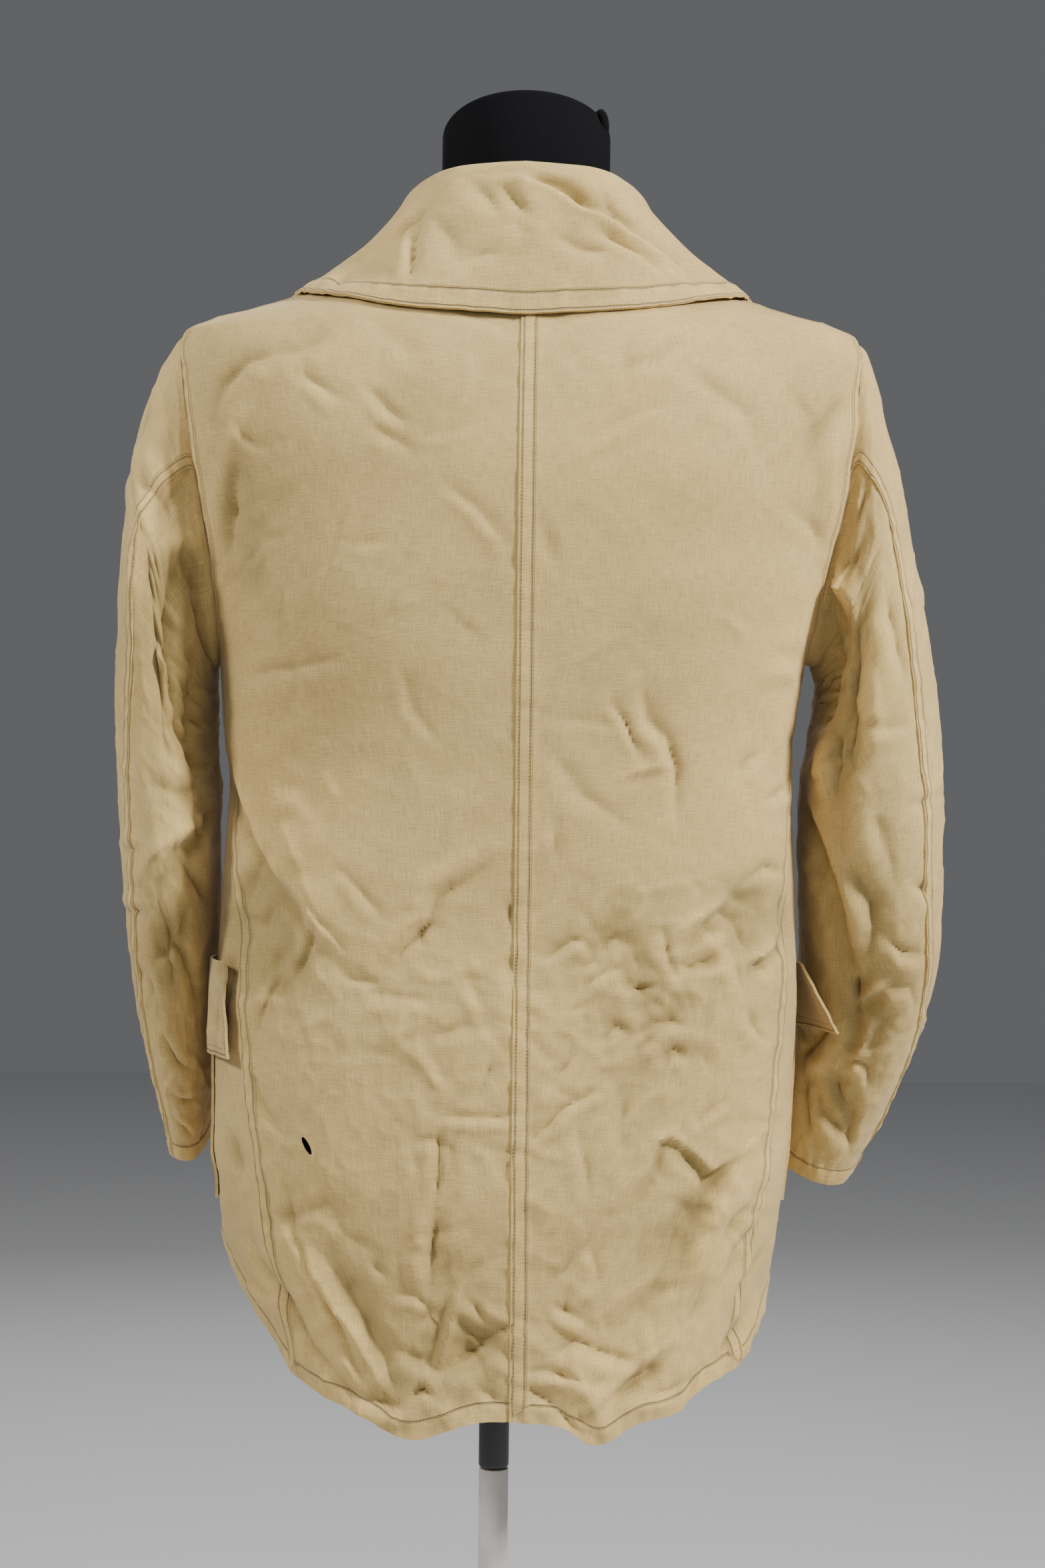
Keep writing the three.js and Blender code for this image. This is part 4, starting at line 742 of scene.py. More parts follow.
def plain_sleeve(turn, at, side):
    """The sleeve's surface without creases. It starts as the armhole and opens to its own sections."""
    out_x, out_z, in_x, in_z, mid_y, half_depth, pitch = [f(at) for f in sleeve_tables[side]]
    c = power(np.cos(np.radians(turn)), 2 / SLEEVE_SQUARE)
    s = power(np.sin(np.radians(turn)), 2 / SLEEVE_SQUARE)
    lean = np.radians(pitch)
    depth = half_depth * s
    x = mix(in_x, out_x, (1 + c) / 2)
    z = mix(in_z, out_z, (1 + c) / 2) - depth * np.sin(lean)
    ring = np.stack([side * x, mid_y + depth * np.cos(lean), z], -1)
    share = 1 - smooth(0, 3, at)
    hole_turn, hole_z = armhole_point(turn, side)
    hole = plain_body(hole_turn, hole_z)
    low = smooth(95, 165, np.abs((turn + 540) % 360 - 180))
    hole[..., 0] += side * mix(1.6, 2.35, low)
    return mix(ring, hole, share[..., None])


def sleeve_point(turn, at, side):
    """The sleeve's surface with its folds and creases."""
    surface = lambda t, a: plain_sleeve(t, a, side)
    normal = normal_of(surface, turn, at, 2, 0.05) * side
    wrapped = np.where(turn > 180, turn - 360, turn)
    a = at * MM_PER_SECTION
    c = wrapped * MM_PER_DEGREE
    lift = crease_height(SLEEVE_CREASES[side], a, c)
    lift = lift + 0.7 * crinkle(a, c, 14, 41 + side)
    lift = lift + 1.2 * crinkle(a * 0.7 + c * 0.7, c * 0.7 - a * 0.7, 30, 43 + side)
    lift = lift * smooth(0.3, 2.0, at) * (1 - 0.8 * smooth(12.2, 13, at))
    return surface(turn, at) + normal * lift[..., None], normal, lift


# The collar at each turn: x, y and z of its roll line, turn and height of its edge on the body, and how far
# its fall bulges on the left and on the right.
COLLAR = np.array([
    (0, 0, 89, 1431, 0, 1320, 3, 3),
    (30, 45, 77, 1430, 16, 1325, 0, 1),
    (60, 73, 44, 1426, 42, 1338, -8, -3),
    (90, 91, 2, 1408, 82, 1348, -1, 0),
    (116, 90, -38, 1389, 126, 1340, 2, 2),
    (140, 76, -70, 1366, 145, 1322, 2, 2),
])
COLLAR_END = 140
COLLAR_NECK_TURN = 156
COLLAR_KNOTS = np.array([0, 0.15, 0.3, 0.38, 0.46, 0.72, 1])
collar_table = [curve(COLLAR, k) for k in range(1, 8)]


def collar_line(turn):
    """The seven points of the collar's profile at each turn."""
    side = np.where(turn < 0, -1.0, 1.0)
    t = np.abs(turn)
    roll_out, roll_y, roll_z, edge_turn, edge_z, left, right = [f(t) for f in collar_table]
    neck_turn = t / COLLAR_END * COLLAR_NECK_TURN
    foot = plain_body(side * neck_turn, neck_z(neck_turn))
    foot[..., 2] += 2.4 + smooth(70, 130, t)
    roll = np.stack([side * roll_out, roll_y, roll_z], -1)
    edge = plain_body(side * edge_turn, edge_z)
    edge = edge + 3.4 * normal_of(plain_body, side * edge_turn, edge_z, 0.5, 0.5)
    out = edge - foot
    out[..., 2] = 0
    out = out / length(out)
    down = np.array([0, 0, 7.0])
    inside = roll - 4.2 * out - down
    outside = roll + 5.2 * out - down
    bulge = np.where(side > 0, left, right)[..., None]
    fall = (outside + edge) / 2 + out * bulge + bulge * np.array([0, 0, 1.0])
    return [foot, (foot + inside) / 2, inside, roll, outside, fall, edge]


def collar_point(turn, step):
    """A centripetal curve through the profile's points, as the solid has it."""
    points = collar_line(turn)
    first = points[0] * 2 - points[1]
    last = points[-1] * 2 - points[-2]
    points = np.stack([first] + points + [last])
    k = np.clip(np.searchsorted(COLLAR_KNOTS, step, side="right") - 1, 0, 5)
    span = COLLAR_KNOTS[k + 1] - COLLAR_KNOTS[k]
    t = np.clip((step - COLLAR_KNOTS[k]) / span, 0, 1)[..., None]
    pick = lambda n: np.take_along_axis(points, (k + n)[None, ..., None], axis=0)[0]
    p0, p1, p2, p3 = pick(0), pick(1), pick(2), pick(3)
    d1 = length(p1 - p0) ** 0.5
    d2 = length(p2 - p1) ** 0.5
    d3 = length(p3 - p2) ** 0.5
    m1 = ((p1 - p0) / d1 - (p2 - p0) / (d1 + d2) + (p2 - p1) / d2) * d2
    m2 = ((p2 - p1) / d2 - (p3 - p1) / (d2 + d3) + (p3 - p2) / d3) * d2
    c2 = -3 * p1 + 3 * p2 - 2 * m1 - m2
    c3 = 2 * p1 - 2 * p2 + m1 + m2
    return p1 + m1 * t + c2 * t * t + c3 * t * t * t


# Sewing
# A seam rule says which edge of a panel it follows, between which shares of that edge, how wide and high its
# raised strip is, at which distances its rows of stitches run, and how much and how long it puckers.
FELLED_ROWS = (1.9, 9.4)
ARMHOLE_ROWS = (2.4, 8.7)
HEM_ROW = (12.0,)
PATCH_ROW = (2.4,)
GROOVE_DEPTH = 0.4
GROOVE_WIDTH = 1.1
PUCKER = 3.2
# The largest distance that the material is told
FAR = 99.0


def rule(edge, start, end, width, step, rows, pucker, ripple):
    return {"edge": edge, "span": (start, end), "width": width, "step": step, "rows": rows,
            "pucker": pucker, "ripple": ripple}


def turned(grid, edge):
    """The grid seen from one of its edges: that edge becomes its first column."""
    if edge in ("low", "high"):
        grid = grid.swapaxes(0, 1)
    return grid[:, ::-1] if edge in ("outer", "high") else grid


def turned_back(grid, edge):
    grid = grid[:, ::-1] if edge in ("outer", "high") else grid
    return grid.swapaxes(0, 1) if edge in ("low", "high") else grid


def from_edge(points, edge):
    """Distance of each place from an edge, and how far along that edge it lies."""
    seen = turned(points, edge)
    steps = length(np.diff(seen, axis=1))[..., 0]
    away = np.concatenate([np.zeros((len(seen), 1)), np.cumsum(steps, axis=1)], axis=1)
    steps = length(np.diff(seen[:, 0], axis=0))[..., 0]
    return away, np.concatenate([[0], np.cumsum(steps)])


def seam_span(seam, share):
    """1 where a seam runs along its edge, fading to 0 past its ends."""
    start, end = seam["span"]
    begun = smooth(start - 0.01, start + 0.01, share)
    going_on = 1 - smooth(end - 0.01, end + 0.01, share)
    span = begun * going_on
    if start == 0:
        span = np.where(share <= 0.01, going_on, span)
    if end == 1:
        span = np.where(share >= 0.99, begun, span)
    return span


def seam_lift(points, rules, seed):
    """The raised strips, stitch grooves and puckers of a panel's seams."""
    total = np.zeros(points.shape[:2])
    for number, seam in enumerate(rules):
        away, run = from_edge(points, seam["edge"])
        width = seam["width"]
        lift = seam["step"] * (1 - smooth(width - 0.4, width + 2.2, away))
        for row in seam["rows"]:
            lift -= GROOVE_DEPTH * np.exp(-(((away - row) / GROOVE_WIDTH) ** 2))
        middle = seam["rows"][0] / 2 if len(seam["rows"]) == 1 else width / 2
        field = run[:, None] + 0.25 * away
        wave = lattice_noise(field, away * 0.5, seam["ripple"], seed + number) - 0.5
        lift += PUCKER * seam["pucker"] * wave * np.exp(-(((away - middle) / (0.75 * width)) ** 2))
        total += turned_back(lift * seam_span(seam, run / run[-1])[:, None], seam["edge"])
    return total


def seam_marks(points, rules):
    """For the material: how far each place is from its seam's rows of stitches and its strip's edge."""
    first = np.full(points.shape[:2], FAR)
    second = first.copy()
    strip = first.copy()
    nearest = np.full(points.shape[:2], 1e6)
    for seam in rules:
        away, run = from_edge(points, seam["edge"])
        share = run / run[-1]
        inside = (share >= seam["span"][0]) & (share <= seam["span"][1])
        near = turned_back(np.where(inside[:, None], away, 1e6), seam["edge"])
        closer = near < nearest
        nearest = np.where(closer, near, nearest)
        first = np.where(closer, near - seam["rows"][0], first)
        second = np.where(closer, near - seam["rows"][-1], second)
        strip = np.where(closer, near - seam["width"] - 0.6, strip)
    marks = {"row_a": first, "row_b": second, "strip": strip}
    return {word: np.clip(values, -FAR, FAR) for word, values in marks.items()}


stitch_places = []


def add_stitch_lines(points, normals, rules, thickness):
    """Remember where the rows of stitches run on a finished panel."""
    for seam in rules:
        away, run = from_edge(points, seam["edge"])
        share = run / run[-1]
        start, end = seam["span"]
        kept = np.where((share >= start) & (share <= end))[0]
        places = turned(points, seam["edge"])
        facing = turned(normals, seam["edge"])
        for row in seam["rows"]:
            line = np.array([[np.interp(row, away[i], places[i, :, k]) for k in range(3)] for i in kept])
            face = np.array([[np.interp(row, away[i], facing[i, :, k]) for k in range(3)] for i in kept])
            stitch_places.append((line + face * (thickness / 2), face))


# Making a piece from a sheet of places

def select_only(obj):
    bpy.ops.object.select_all(action="DESELECT")
    obj.select_set(True)
    bpy.context.view_layer.objects.active = obj


def real_normals(points, like):
    """The facing of each place of a finished sheet, on the same side as the facing it started from."""
    across = np.gradient(points, axis=1)
    along = np.gradient(points, axis=0)
    normals = np.cross(across, along)
    normals = normals / np.maximum(length(normals), 1e-9)
    flip = np.sign((normals * like).sum(-1, keepdims=True))
    return normals * np.where(flip == 0, 1, flip)


def thread_map(points):
    """How far each place of a sheet lies across its threads and along them, in millimetres."""
    rows, cols = points.shape[:2]
    across_step = length(np.diff(points, axis=1))[..., 0]
    along_step = length(np.diff(points, axis=0))[..., 0]
    across = np.concatenate([np.zeros((rows, 1)), np.cumsum(across_step, axis=1)], axis=1)
    across -= across[:, cols // 2][:, None]
    along = np.concatenate([np.zeros((1, cols)), np.cumsum(along_step, axis=0)], axis=0)
    along = np.repeat(along.mean(axis=1)[:, None], cols, axis=1)
    return across, along


def cloth_piece(name, points, normals, thickness, marks):
    """A grid is added, its points are laid on the cloth's surface, and it is given its thickness."""
    rows, cols = points.shape[:2]
    bpy.ops.object.select_all(action="DESELECT")
    bpy.ops.mesh.primitive_grid_add(x_subdivisions=cols - 1, y_subdivisions=rows - 1, size=1)
    piece = bpy.context.object
    piece.name = name
    piece.data.name = name
    mesh = piece.data
    start = np.empty(len(mesh.vertices) * 3)
    mesh.vertices.foreach_get("co", start)
    start = start.reshape(-1, 3)
    col = np.rint((start[:, 0] + 0.5) * (cols - 1)).astype(int)
    row = np.rint((start[:, 1] + 0.5) * (rows - 1)).astype(int)
    mesh.vertices.foreach_set("co", (points[row, col] * MM).ravel())
    mesh.update()
    middle = (rows // 2, cols // 2)
    across = points[middle[0], middle[1] + 1] - points[middle]
    along = points[middle[0] + 1, middle[1]] - points[middle]
    if np.dot(np.cross(across, along), normals[middle]) < 0:
        mesh.flip_normals()
    for word, values in marks.items():
        layer = mesh.attributes.new(word, "FLOAT", "POINT")
        layer.data.foreach_set("value", values[row, col].ravel())
    across, along = thread_map(points)
    corner = np.empty(len(mesh.loops), int)
    mesh.loops.foreach_get("vertex_index", corner)
    uv = np.stack([across[row, col][corner], along[row, col][corner]], -1) * MM
    mesh.uv_layers.active.data.foreach_set("uv", uv.ravel())
    wall = piece.modifiers.new("wall", "SOLIDIFY")
    wall.thickness = thickness * MM
    wall.offset = 0
    wall.use_quality_normals = True
    select_only(piece)
    bpy.ops.object.modifier_apply(modifier=wall.name)
    bpy.ops.object.shade_smooth_by_angle(angle=math.radians(60))
    return piece


def give_finish(piece, material):
    """One finish all over the piece, which rides on the root body."""
    piece.data.materials.clear()
    piece.data.materials.append(material)
    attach(piece, "root")


def stand_in(piece, node, material):
    give_finish(piece, material)
    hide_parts(node)


def sewn_piece(node, points, normals, lift, rules, seed, thickness):
    """One panel of the coat: its seams are raised, its stitches noted, and it stands in for its solid."""
    marks = seam_marks(points, rules)
    relief = seam_lift(points, rules, seed)
    # The crease height also drives the material's painted shade in troughs and painted highlight on ridges
    marks["crease"] = lift + 2.2 * relief
    points = points + normals * relief[..., None]
    facing = real_normals(points, normals)
    piece = cloth_piece(node + "_cloth", points, normals, thickness, marks)
    add_stitch_lines(points, facing, rules, thickness)
    stand_in(piece, node, coat_cloth)


# Places on a front are counted in columns, from its edge to its outer seam
FRONT_COLS = 15
STEPS_PER_SECTION = 20


def body_cloth(node, panel, side, inner, cols, steps, depth_of, laps, rules, seed):
    rows = fine_rows(panel, *steps)
    shares = np.linspace(0, 1, cols + 1)
    if panel is FRONT:
        shares = 1 - (1 - shares) ** 1.4
    row, s = np.meshgrid(rows, shares, indexing="ij")
    turn, z = panel_place(panel, side, inner, row, s, laps)
    out = depth_of(np.abs(turn)) + np.zeros(turn.shape)
    points, normals, lift = body_point(turn, z, out)
    sewn_piece(node, points, normals, lift, rules, seed, CLOTH)


def sleeve_cloth(node, side, turns, from_seam, to_seam, cols, laps, rules, seed):
    sections = np.linspace(0, SECTIONS, SECTIONS * STEPS_PER_SECTION + 1)
    at, s = np.meshgrid(sections, np.linspace(0, 1, cols + 1), indexing="ij")
    start = from_seam(at) - laps[0]
    end = to_seam(at) + laps[1]
    share = np.interp(s, np.linspace(0, 1, len(turns)), (turns - turns[0]) / (turns[-1] - turns[0]))
    points, normals, lift = sleeve_point(mix(start, end, share), at, side)
    sewn_piece(node, points, normals, lift, rules, seed, CLOTH)


def front_patch(node, side, col_of, row_of, rows, cols, rise_of, rules, seed):
    """A piece that lies on a front: it is made from the front's own places, moved out."""
    along, across = np.meshgrid(np.linspace(0, 1, rows + 1), np.linspace(0, 1, cols + 1), indexing="ij")
    col = col_of(along, across)
    row = row_of(along, across, col)
    turn, z = panel_place(FRONT, side, front_edge, row, col / FRONT_COLS)
    rise = rise_of(along, across) + under_lap(side)(np.abs(turn))
    points, normals, lift = body_point(turn, z, rise)
    sewn_piece(node, points, normals, lift, rules, seed, CLOTH)


def row_of_height(side, z, col):
    """The row of a front, along one of its columns, at a height."""
    rows = np.linspace(0, FRONT["rows"], 400)
    found = np.empty(z.shape)
    for c in np.unique(np.round(col, 3)):
        heights = panel_place(FRONT, side, front_edge, rows, np.full(rows.shape, c / FRONT_COLS))[1]
        same = np.isclose(col, c, atol=6e-4)
        found[same] = np.interp(z[same], heights, rows)
    return found


# Materials
KHAKI = [(0.3, (0.465, 0.325, 0.122)), (0.5, (0.52, 0.366, 0.138)), (0.72, (0.565, 0.404, 0.16))]
# Colour by crease height: painted shade in troughs, and ridges painted pale, partly rubbed wear and partly
# painted highlight
CREASE_WEAR_HIGHLIGHT_AND_SHADE = [(0.0, (0.72, 0.73, 0.7)), (0.5, (1, 1, 1)), (1.0, (1.13, 1.11, 1.07))]
# Painted shade along rows of stitches and along the edges of turned strips
SEAM_SHADE = (0.66, 0.64, 0.6, 1)
# How often each set of threads varies across the cloth, up it and out of it, for each metre
WEFT = (90, 1500, 1)
WARP = (1300, 70, 1)


def plug(node, inputs):
    """Constants, or other nodes' outputs, on a node's sockets."""
    tree = node.id_data
    for name, value in inputs.items():
        if isinstance(value, bpy.types.NodeSocket):
            tree.links.new(value, node.inputs[name])
        else:
            node.inputs[name].default_value = value


def add_node(tree, kind, inputs, **settings):
    node = tree.nodes.new(kind)
    for name, value in settings.items():
        setattr(node, name, value)
    plug(node, inputs)
    return node


def new_material(name, roughness):
    material = bpy.data.materials.new(name)
    material.use_nodes = True
    shader = material.node_tree.nodes["Principled BSDF"]
    plug(shader, {"Roughness": roughness})
    return material, material.node_tree, shader


def noise(tree, place, scale, detail):
    inputs = {"Vector": place, "Scale": scale, "Detail": detail}
    return add_node(tree, "ShaderNodeTexNoise", inputs).outputs["Fac"]


def ramp(tree, value, stops):
    node = add_node(tree, "ShaderNodeValToRGB", {"Fac": value})
    elements = node.color_ramp.elements
    for element, (position, color) in ((elements[0], stops[0]), (elements[1], stops[-1])):
        element.position = position
        element.color = (*color, 1)
    for position, color in stops[1:-1]:
        elements.new(position).color = (*color, 1)
    return node.outputs["Color"]


def map_range(tree, value, low, high, to_low=0, to_high=1):
    inputs = {"Value": value, "From Min": low, "From Max": high, "To Min": to_low, "To Max": to_high}
    return add_node(tree, "ShaderNodeMapRange", inputs).outputs["Result"]


def combine(tree, operation, first, second):
    """The sum of two values, the larger of them, or what else the operation says."""
    return add_node(tree, "ShaderNodeMath", {0: first, 1: second}, operation=operation).outputs[0]


def multiply(tree, share, color, by):
    inputs = {"Factor": share, "A": color, "B": by}
    node = add_node(tree, "ShaderNodeMix", inputs, data_type="RGBA", blend_type="MULTIPLY")
    return node.outputs["Result"]


def bump(tree, height, strength, distance, below=None, **settings):
    inputs = {"Height": height, "Strength": strength, "Distance": distance}
    if below:
        inputs["Normal"] = below
    return add_node(tree, "ShaderNodeBump", inputs, **settings).outputs["Normal"]


def attribute(tree, word):
    return add_node(tree, "ShaderNodeAttribute", {}, attribute_name=word).outputs["Fac"]


def line_mask(tree, word, half_width):
    """1 on a line that an attribute measures the distance to in millimetres, 0 beside it."""
    size = add_node(tree, "ShaderNodeMath", {0: attribute(tree, word)}, operation="ABSOLUTE")
    return map_range(tree, size.outputs[0], half_width * 0.35, half_width, 1, 0)


def poplin():
    """Washed khaki cotton: crossing threads with slubs, faded patches, painted shade in its creases, and
    ridges painted pale, partly rubbed wear and partly painted highlight.
    """
    material, tree, shader = new_material("khaki_poplin", 0.82)
    uv = add_node(tree, "ShaderNodeUVMap", {}).outputs["UV"]
    place = add_node(tree, "ShaderNodeTexCoord", {}).outputs["Object"]
    faded = ramp(tree, noise(tree, place, 9, 4), KHAKI)
    # Threads across and along, a little uneven in thickness
    threads = []
    for stretch in (WEFT, WARP):
        scaled = add_node(tree, "ShaderNodeMapping", {"Vector": uv, "Scale": stretch})
        threads.append(noise(tree, scaled.outputs["Vector"], 1, 2))
    weave = combine(tree, "ADD", *threads)
    woven = multiply(tree, 1, faded, map_range(tree, weave, 0.7, 1.3, 0.8, 1.18))
    # Troughs get painted shade, and ridges are painted pale, partly rubbed wear and partly painted highlight
    crease_wear_highlight_and_shade = ramp(tree, map_range(tree, attribute(tree, "crease"), -4, 4), CREASE_WEAR_HIGHLIGHT_AND_SHADE)
    cloth_with_crease_shading = multiply(tree, 1, woven, crease_wear_highlight_and_shade)
    # Rows of stitches sink in and get a painted shade along them, and the edge of a turned strip gets a thin
    # painted shade
    rows = combine(tree, "MAXIMUM", line_mask(tree, "row_a", 0.95), line_mask(tree, "row_b", 0.95))
    lines = combine(tree, "MAXIMUM", rows, line_mask(tree, "strip", 0.7))
    sunk = bump(tree, rows, 0.9, 0.0009, invert=True)
    plug(shader, {
        "Base Color": multiply(tree, lines, cloth_with_crease_shading, SEAM_SHADE),
        "Normal": bump(tree, weave, 0.5, 0.0003, sunk),
        "Sheen Weight": 0.12,
        "Sheen Roughness": 0.5,
        "Specular IOR Level": 0.25,
    })
    return material


def plain_material(name, color, roughness, grain, depth, gloss=0.5):
    """One colour, a little uneven, with a grain so many bumps to the metre and so deep."""
    material, tree, shader = new_material(name, roughness)
    place = add_node(tree, "ShaderNodeTexCoord", {}).outputs["Object"]
    uneven = noise(tree, place, grain, 3)
    low = tuple(c * 0.85 for c in color)
    high = tuple(c * 1.15 for c in color)
    plug(shader, {
        "Base Color": ramp(tree, uneven, [(0.3, low), (0.7, high)]),
        "Normal": bump(tree, uneven, 0.6, depth),
        "Specular IOR Level": gloss,
    })
    return material


coat_cloth = poplin()
black_jersey = plain_material("black_jersey", (0.006, 0.006, 0.007), 0.95, 900, 0.0002, 0.06)
white_enamel = plain_material("off_white_enamel", (0.62, 0.58, 0.55), 0.38, 30, 0.0001)
black_plastic = plain_material("black_plastic", (0.012, 0.012, 0.013), 0.45, 500, 0.00008)
thread = plain_material("sewing_thread", (0.36, 0.29, 0.17), 0.75, 700, 0.00005)
brown_plastic = plain_material("brown_button", (0.12, 0.075, 0.04), 0.35, 300, 0.00005)

# The coat
SIDES = ((1, "left"), (-1, "right"))
ARMHOLE_LAP = 1.7
TOP_OF_SIDE = 0.52
TOP_OF_FRONT_HOLE = 0.86

# How finely each panel is laid: columns across, and steps in each row below, beside and above the armhole
BACK_FINENESS = (102, (15, 10, 8))
FRONT_FINENESS = (76, (9, 6, 7))
SLEEVE_TOP_COLUMNS = 62
SLEEVE_UNDER_COLUMNS = 84

for side, word in SIDES:
    centre = [rule("inner", 0, 1, 10.6, 1.3, FELLED_ROWS, 0.42, 6.5)] if side < 0 else []
    side_seam = rule("outer", 0, TOP_OF_SIDE, 10.6, 0.7, FELLED_ROWS, 0.45, 7)
    armhole = rule("outer", TOP_OF_SIDE, 1, 10.4, 1.3, ARMHOLE_ROWS, 0.4, 8)
    hem = rule("low", 0, 1, 12, 0.5, HEM_ROW, 0.8, 7)
    body_cloth(f"back_{word}", BACK, side, centre_back, *BACK_FINENESS, lambda turn: 0,
               (0.7 if side < 0 else -0.1, ARMHOLE_LAP), centre + [side_seam, armhole, hem], 50 + side)
    opening = rule("inner", 0, 1, 8, 0.4, (6.0,), 0.3, 8)
    hole = rule("outer", TOP_OF_SIDE, TOP_OF_FRONT_HOLE, 10.4, 0.9, ARMHOLE_ROWS, 0.3, 8)
    body_cloth(f"front_{word}", FRONT, side, front_edge, *FRONT_FINENESS, under_lap(side), (0, 0.9),
               [opening, hole, hem], 60 + side)
    back_seam = seam_at[0] if side > 0 else seam_at[1]
    front_seam = seam_at[2]
    cuff = rule("high", 0, 1, 12, 0.6, HEM_ROW, 0.6, 8)
    overlap = rule("outer", 0.01, 1, 9.6, 1.3, (1.5, 7.8), 0.5, 8)
    sleeve_cloth(f"sleeve_top_{word}", side, TOP_TURNS, front_seam, back_seam, SLEEVE_TOP_COLUMNS,
                 (0, 0.6), [overlap, cuff], 70 + side)
    sleeve_cloth(f"sleeve_under_{word}", side, UNDER_TURNS, back_seam, lambda at: front_seam(at) + 360,
                 SLEEVE_UNDER_COLUMNS, (-0.1, 0.3), [cuff], 80 + side)

# Creases of the collar's fall behind, as (x, z) lines
COLLAR_BACK_CREASES = [
    ([(-109, 1358), (-83, 1376), (-58, 1388), (-36, 1397), (-18, 1410), (4, 1419)], 4.5, 2.6, 0.8),
    ([(-5, 1421), (-28, 1409), (-54, 1395)], 6, -1.8, 0.2),
    ([(17, 1414), (7, 1403), (-5, 1391)], 6, -2.2, 0.3),
    ([(39, 1421), (26, 1406), (17, 1392)], 7, -1.6, 0.4),
    ([(69, 1403), (82, 1389), (92, 1379)], 3.6, -2.8, 0.7),
    ([(74, 1397), (77, 1363), (81, 1345)], 3, -2.4, 0.7),
    ([(-46, 1385), (-67, 1376), (-92, 1363)], 4, -1.8, 0.5),
    ([(-23, 1379), (-37, 1369), (-52, 1368)], 6, -1.6, 0.4),
    ([(41, 1360), (28, 1365), (17, 1363)], 7, -1.4, 0.4),
    ([(62, 1391), (50, 1375), (45, 1359)], 8, -1.3, 0.3),
    ([(-54, 1411), (-63, 1398), (-75, 1393)], 5, -1.8, 0.5),
    ([(32, 1423), (21, 1426), (8, 1424)], 4, -1.6, 0.4),
    ([(124, 1358), (129, 1354), (133, 1347)], 4, -1.8, 0.5),
    ([(-80, 1364), (-91, 1360), (-98, 1354)], 3.4, -1.6, 0.5),
    ([(9, 1392), (-1, 1378), (4, 1360)], 8, -1.2, 0.3),
]


def collar_cloth():
    steps = np.concatenate([np.linspace(0, 0.3, 14)[:-1], np.linspace(0.3, 1, 92)])
    turn, step = np.meshgrid(np.linspace(-COLLAR_END, COLLAR_END, 171), steps, indexing="ij")
    points = collar_point(turn, step)
    across = np.gradient(points, axis=1)
    along = np.gradient(points, axis=0)
    normals = np.cross(across, along)
    normals = normals / length(normals)
    if normals[85, 80, 1] < 0:
        normals = -normals
    x = points[..., 0]
    z = points[..., 2]
    behind = points[..., 1] > 0
    outside = smooth(0.42, 0.52, step)
    wave = 1.6 * (lattice_noise(x, z, 42, 91) - 0.5) + 0.5 * crinkle(x, z, 19, 92)
    lift = np.where(behind, 1.35 * crease_height(COLLAR_BACK_CREASES, x, z), 0) + wave
    lift = lift * outside * (1 - smooth(0.93, 1.0, step) * 0.6)
    # The roll line is a little uneven
    at_roll = np.exp(-(((step - 0.38) / 0.06) ** 2))
    lift = lift + 0.8 * (lattice_noise(turn, step * 60, 9, 93) - 0.5) * at_roll
    points = points + normals * lift[..., None]
    edge = rule("outer", 0.02, 0.98, 15.5, 0.5, (1.9, 14.5), 0.75, 6.0)
    sewn_piece("collar", points, normals, lift, [edge], 95, COLLAR_CLOTH)


collar_cloth()

# Pockets, flaps and lapels: heights of their edges, first and last of the front's columns that they cover,
# and how far out of it they lie. A flap's lower rear corner flares: how far, and how fast up and forward.
POCKET = {"bottom": {"left": 702, "right": 702}, "top": 866, "inner": 4,
          "rear": {"left": 11.7, "right": 11.7}, "rise": 2.8}
FLAP = {"bottom": {"left": 806, "right": 824}, "top": 872, "inner": 4,
        "rear": {"left": 14.8, "right": 12.7}, "rise": 5.3}
FLARE = {"left": (4.5, 0, 14), "right": (26, 1.1, 3.5)}
LAPEL = {"bottom": {"left": 1200, "right": 1280}, "top": 1335, "rise": 3.0}

PATCH_EDGES = [rule(edge, 0, 1, 6, 0.3, PATCH_ROW, 0.25, 8) for edge in ("inner", "outer", "low")]
LAPEL_EDGE = [rule("outer", 0, 1, 6, 0.3, PATCH_ROW, 0.25, 8)]


def lapel(side, word):
    """A turned-back front: narrow at its foot, and slanting where the collar meets it."""
    bottom = LAPEL["bottom"][word]

    def col_of(along, across):
        z = mix(bottom, LAPEL["top"], along)
        cols = mix(0.4, 4.2, smooth(BREAK_Z - 10, 1300, z)) * (1 - 0.2 * smooth(1315, 1335, z))
        return 0.2 + cols * across

    def row_of(along, across, col):
        z = mix(bottom, LAPEL["top"], along)
        drop = 30 * across * smooth(1290, 1335, z)
        return row_of_height(side, z - drop, np.zeros(z.shape))

    rise_of = lambda along, across: LAPEL["rise"]
    front_patch(f"lapel_{word}", side, col_of, row_of, 50, 30, rise_of, LAPEL_EDGE, 100)


def patch(name, side, word, sizes, rows, rise_of, seed):
    """A pocket or a flap, between two heights and two columns of its front."""
    col_of = lambda along, across: mix(sizes["inner"], sizes["rear"][word], across)
    height = lambda along: mix(sizes["bottom"][word], sizes["top"], along)
    row_of = lambda along, across, col: row_of_height(side, height(along), col)
    front_patch(f"{name}_{word}", side, col_of, row_of, rows, 60, rise_of, PATCH_EDGES, seed)


def flap_rise(word):
    reach, up, forward = FLARE[word]
    return lambda along, across: FLAP["rise"] + reach * (1 - along) ** up * across ** forward


for side, word in SIDES:
    lapel(side, word)
    patch("pocket", side, word, POCKET, 50, lambda along, across: POCKET["rise"], 110)
    patch("flap", side, word, FLAP, 30, flap_rise(word), 120)


# Pieces modelled by hand
SHARP = math.radians(40)


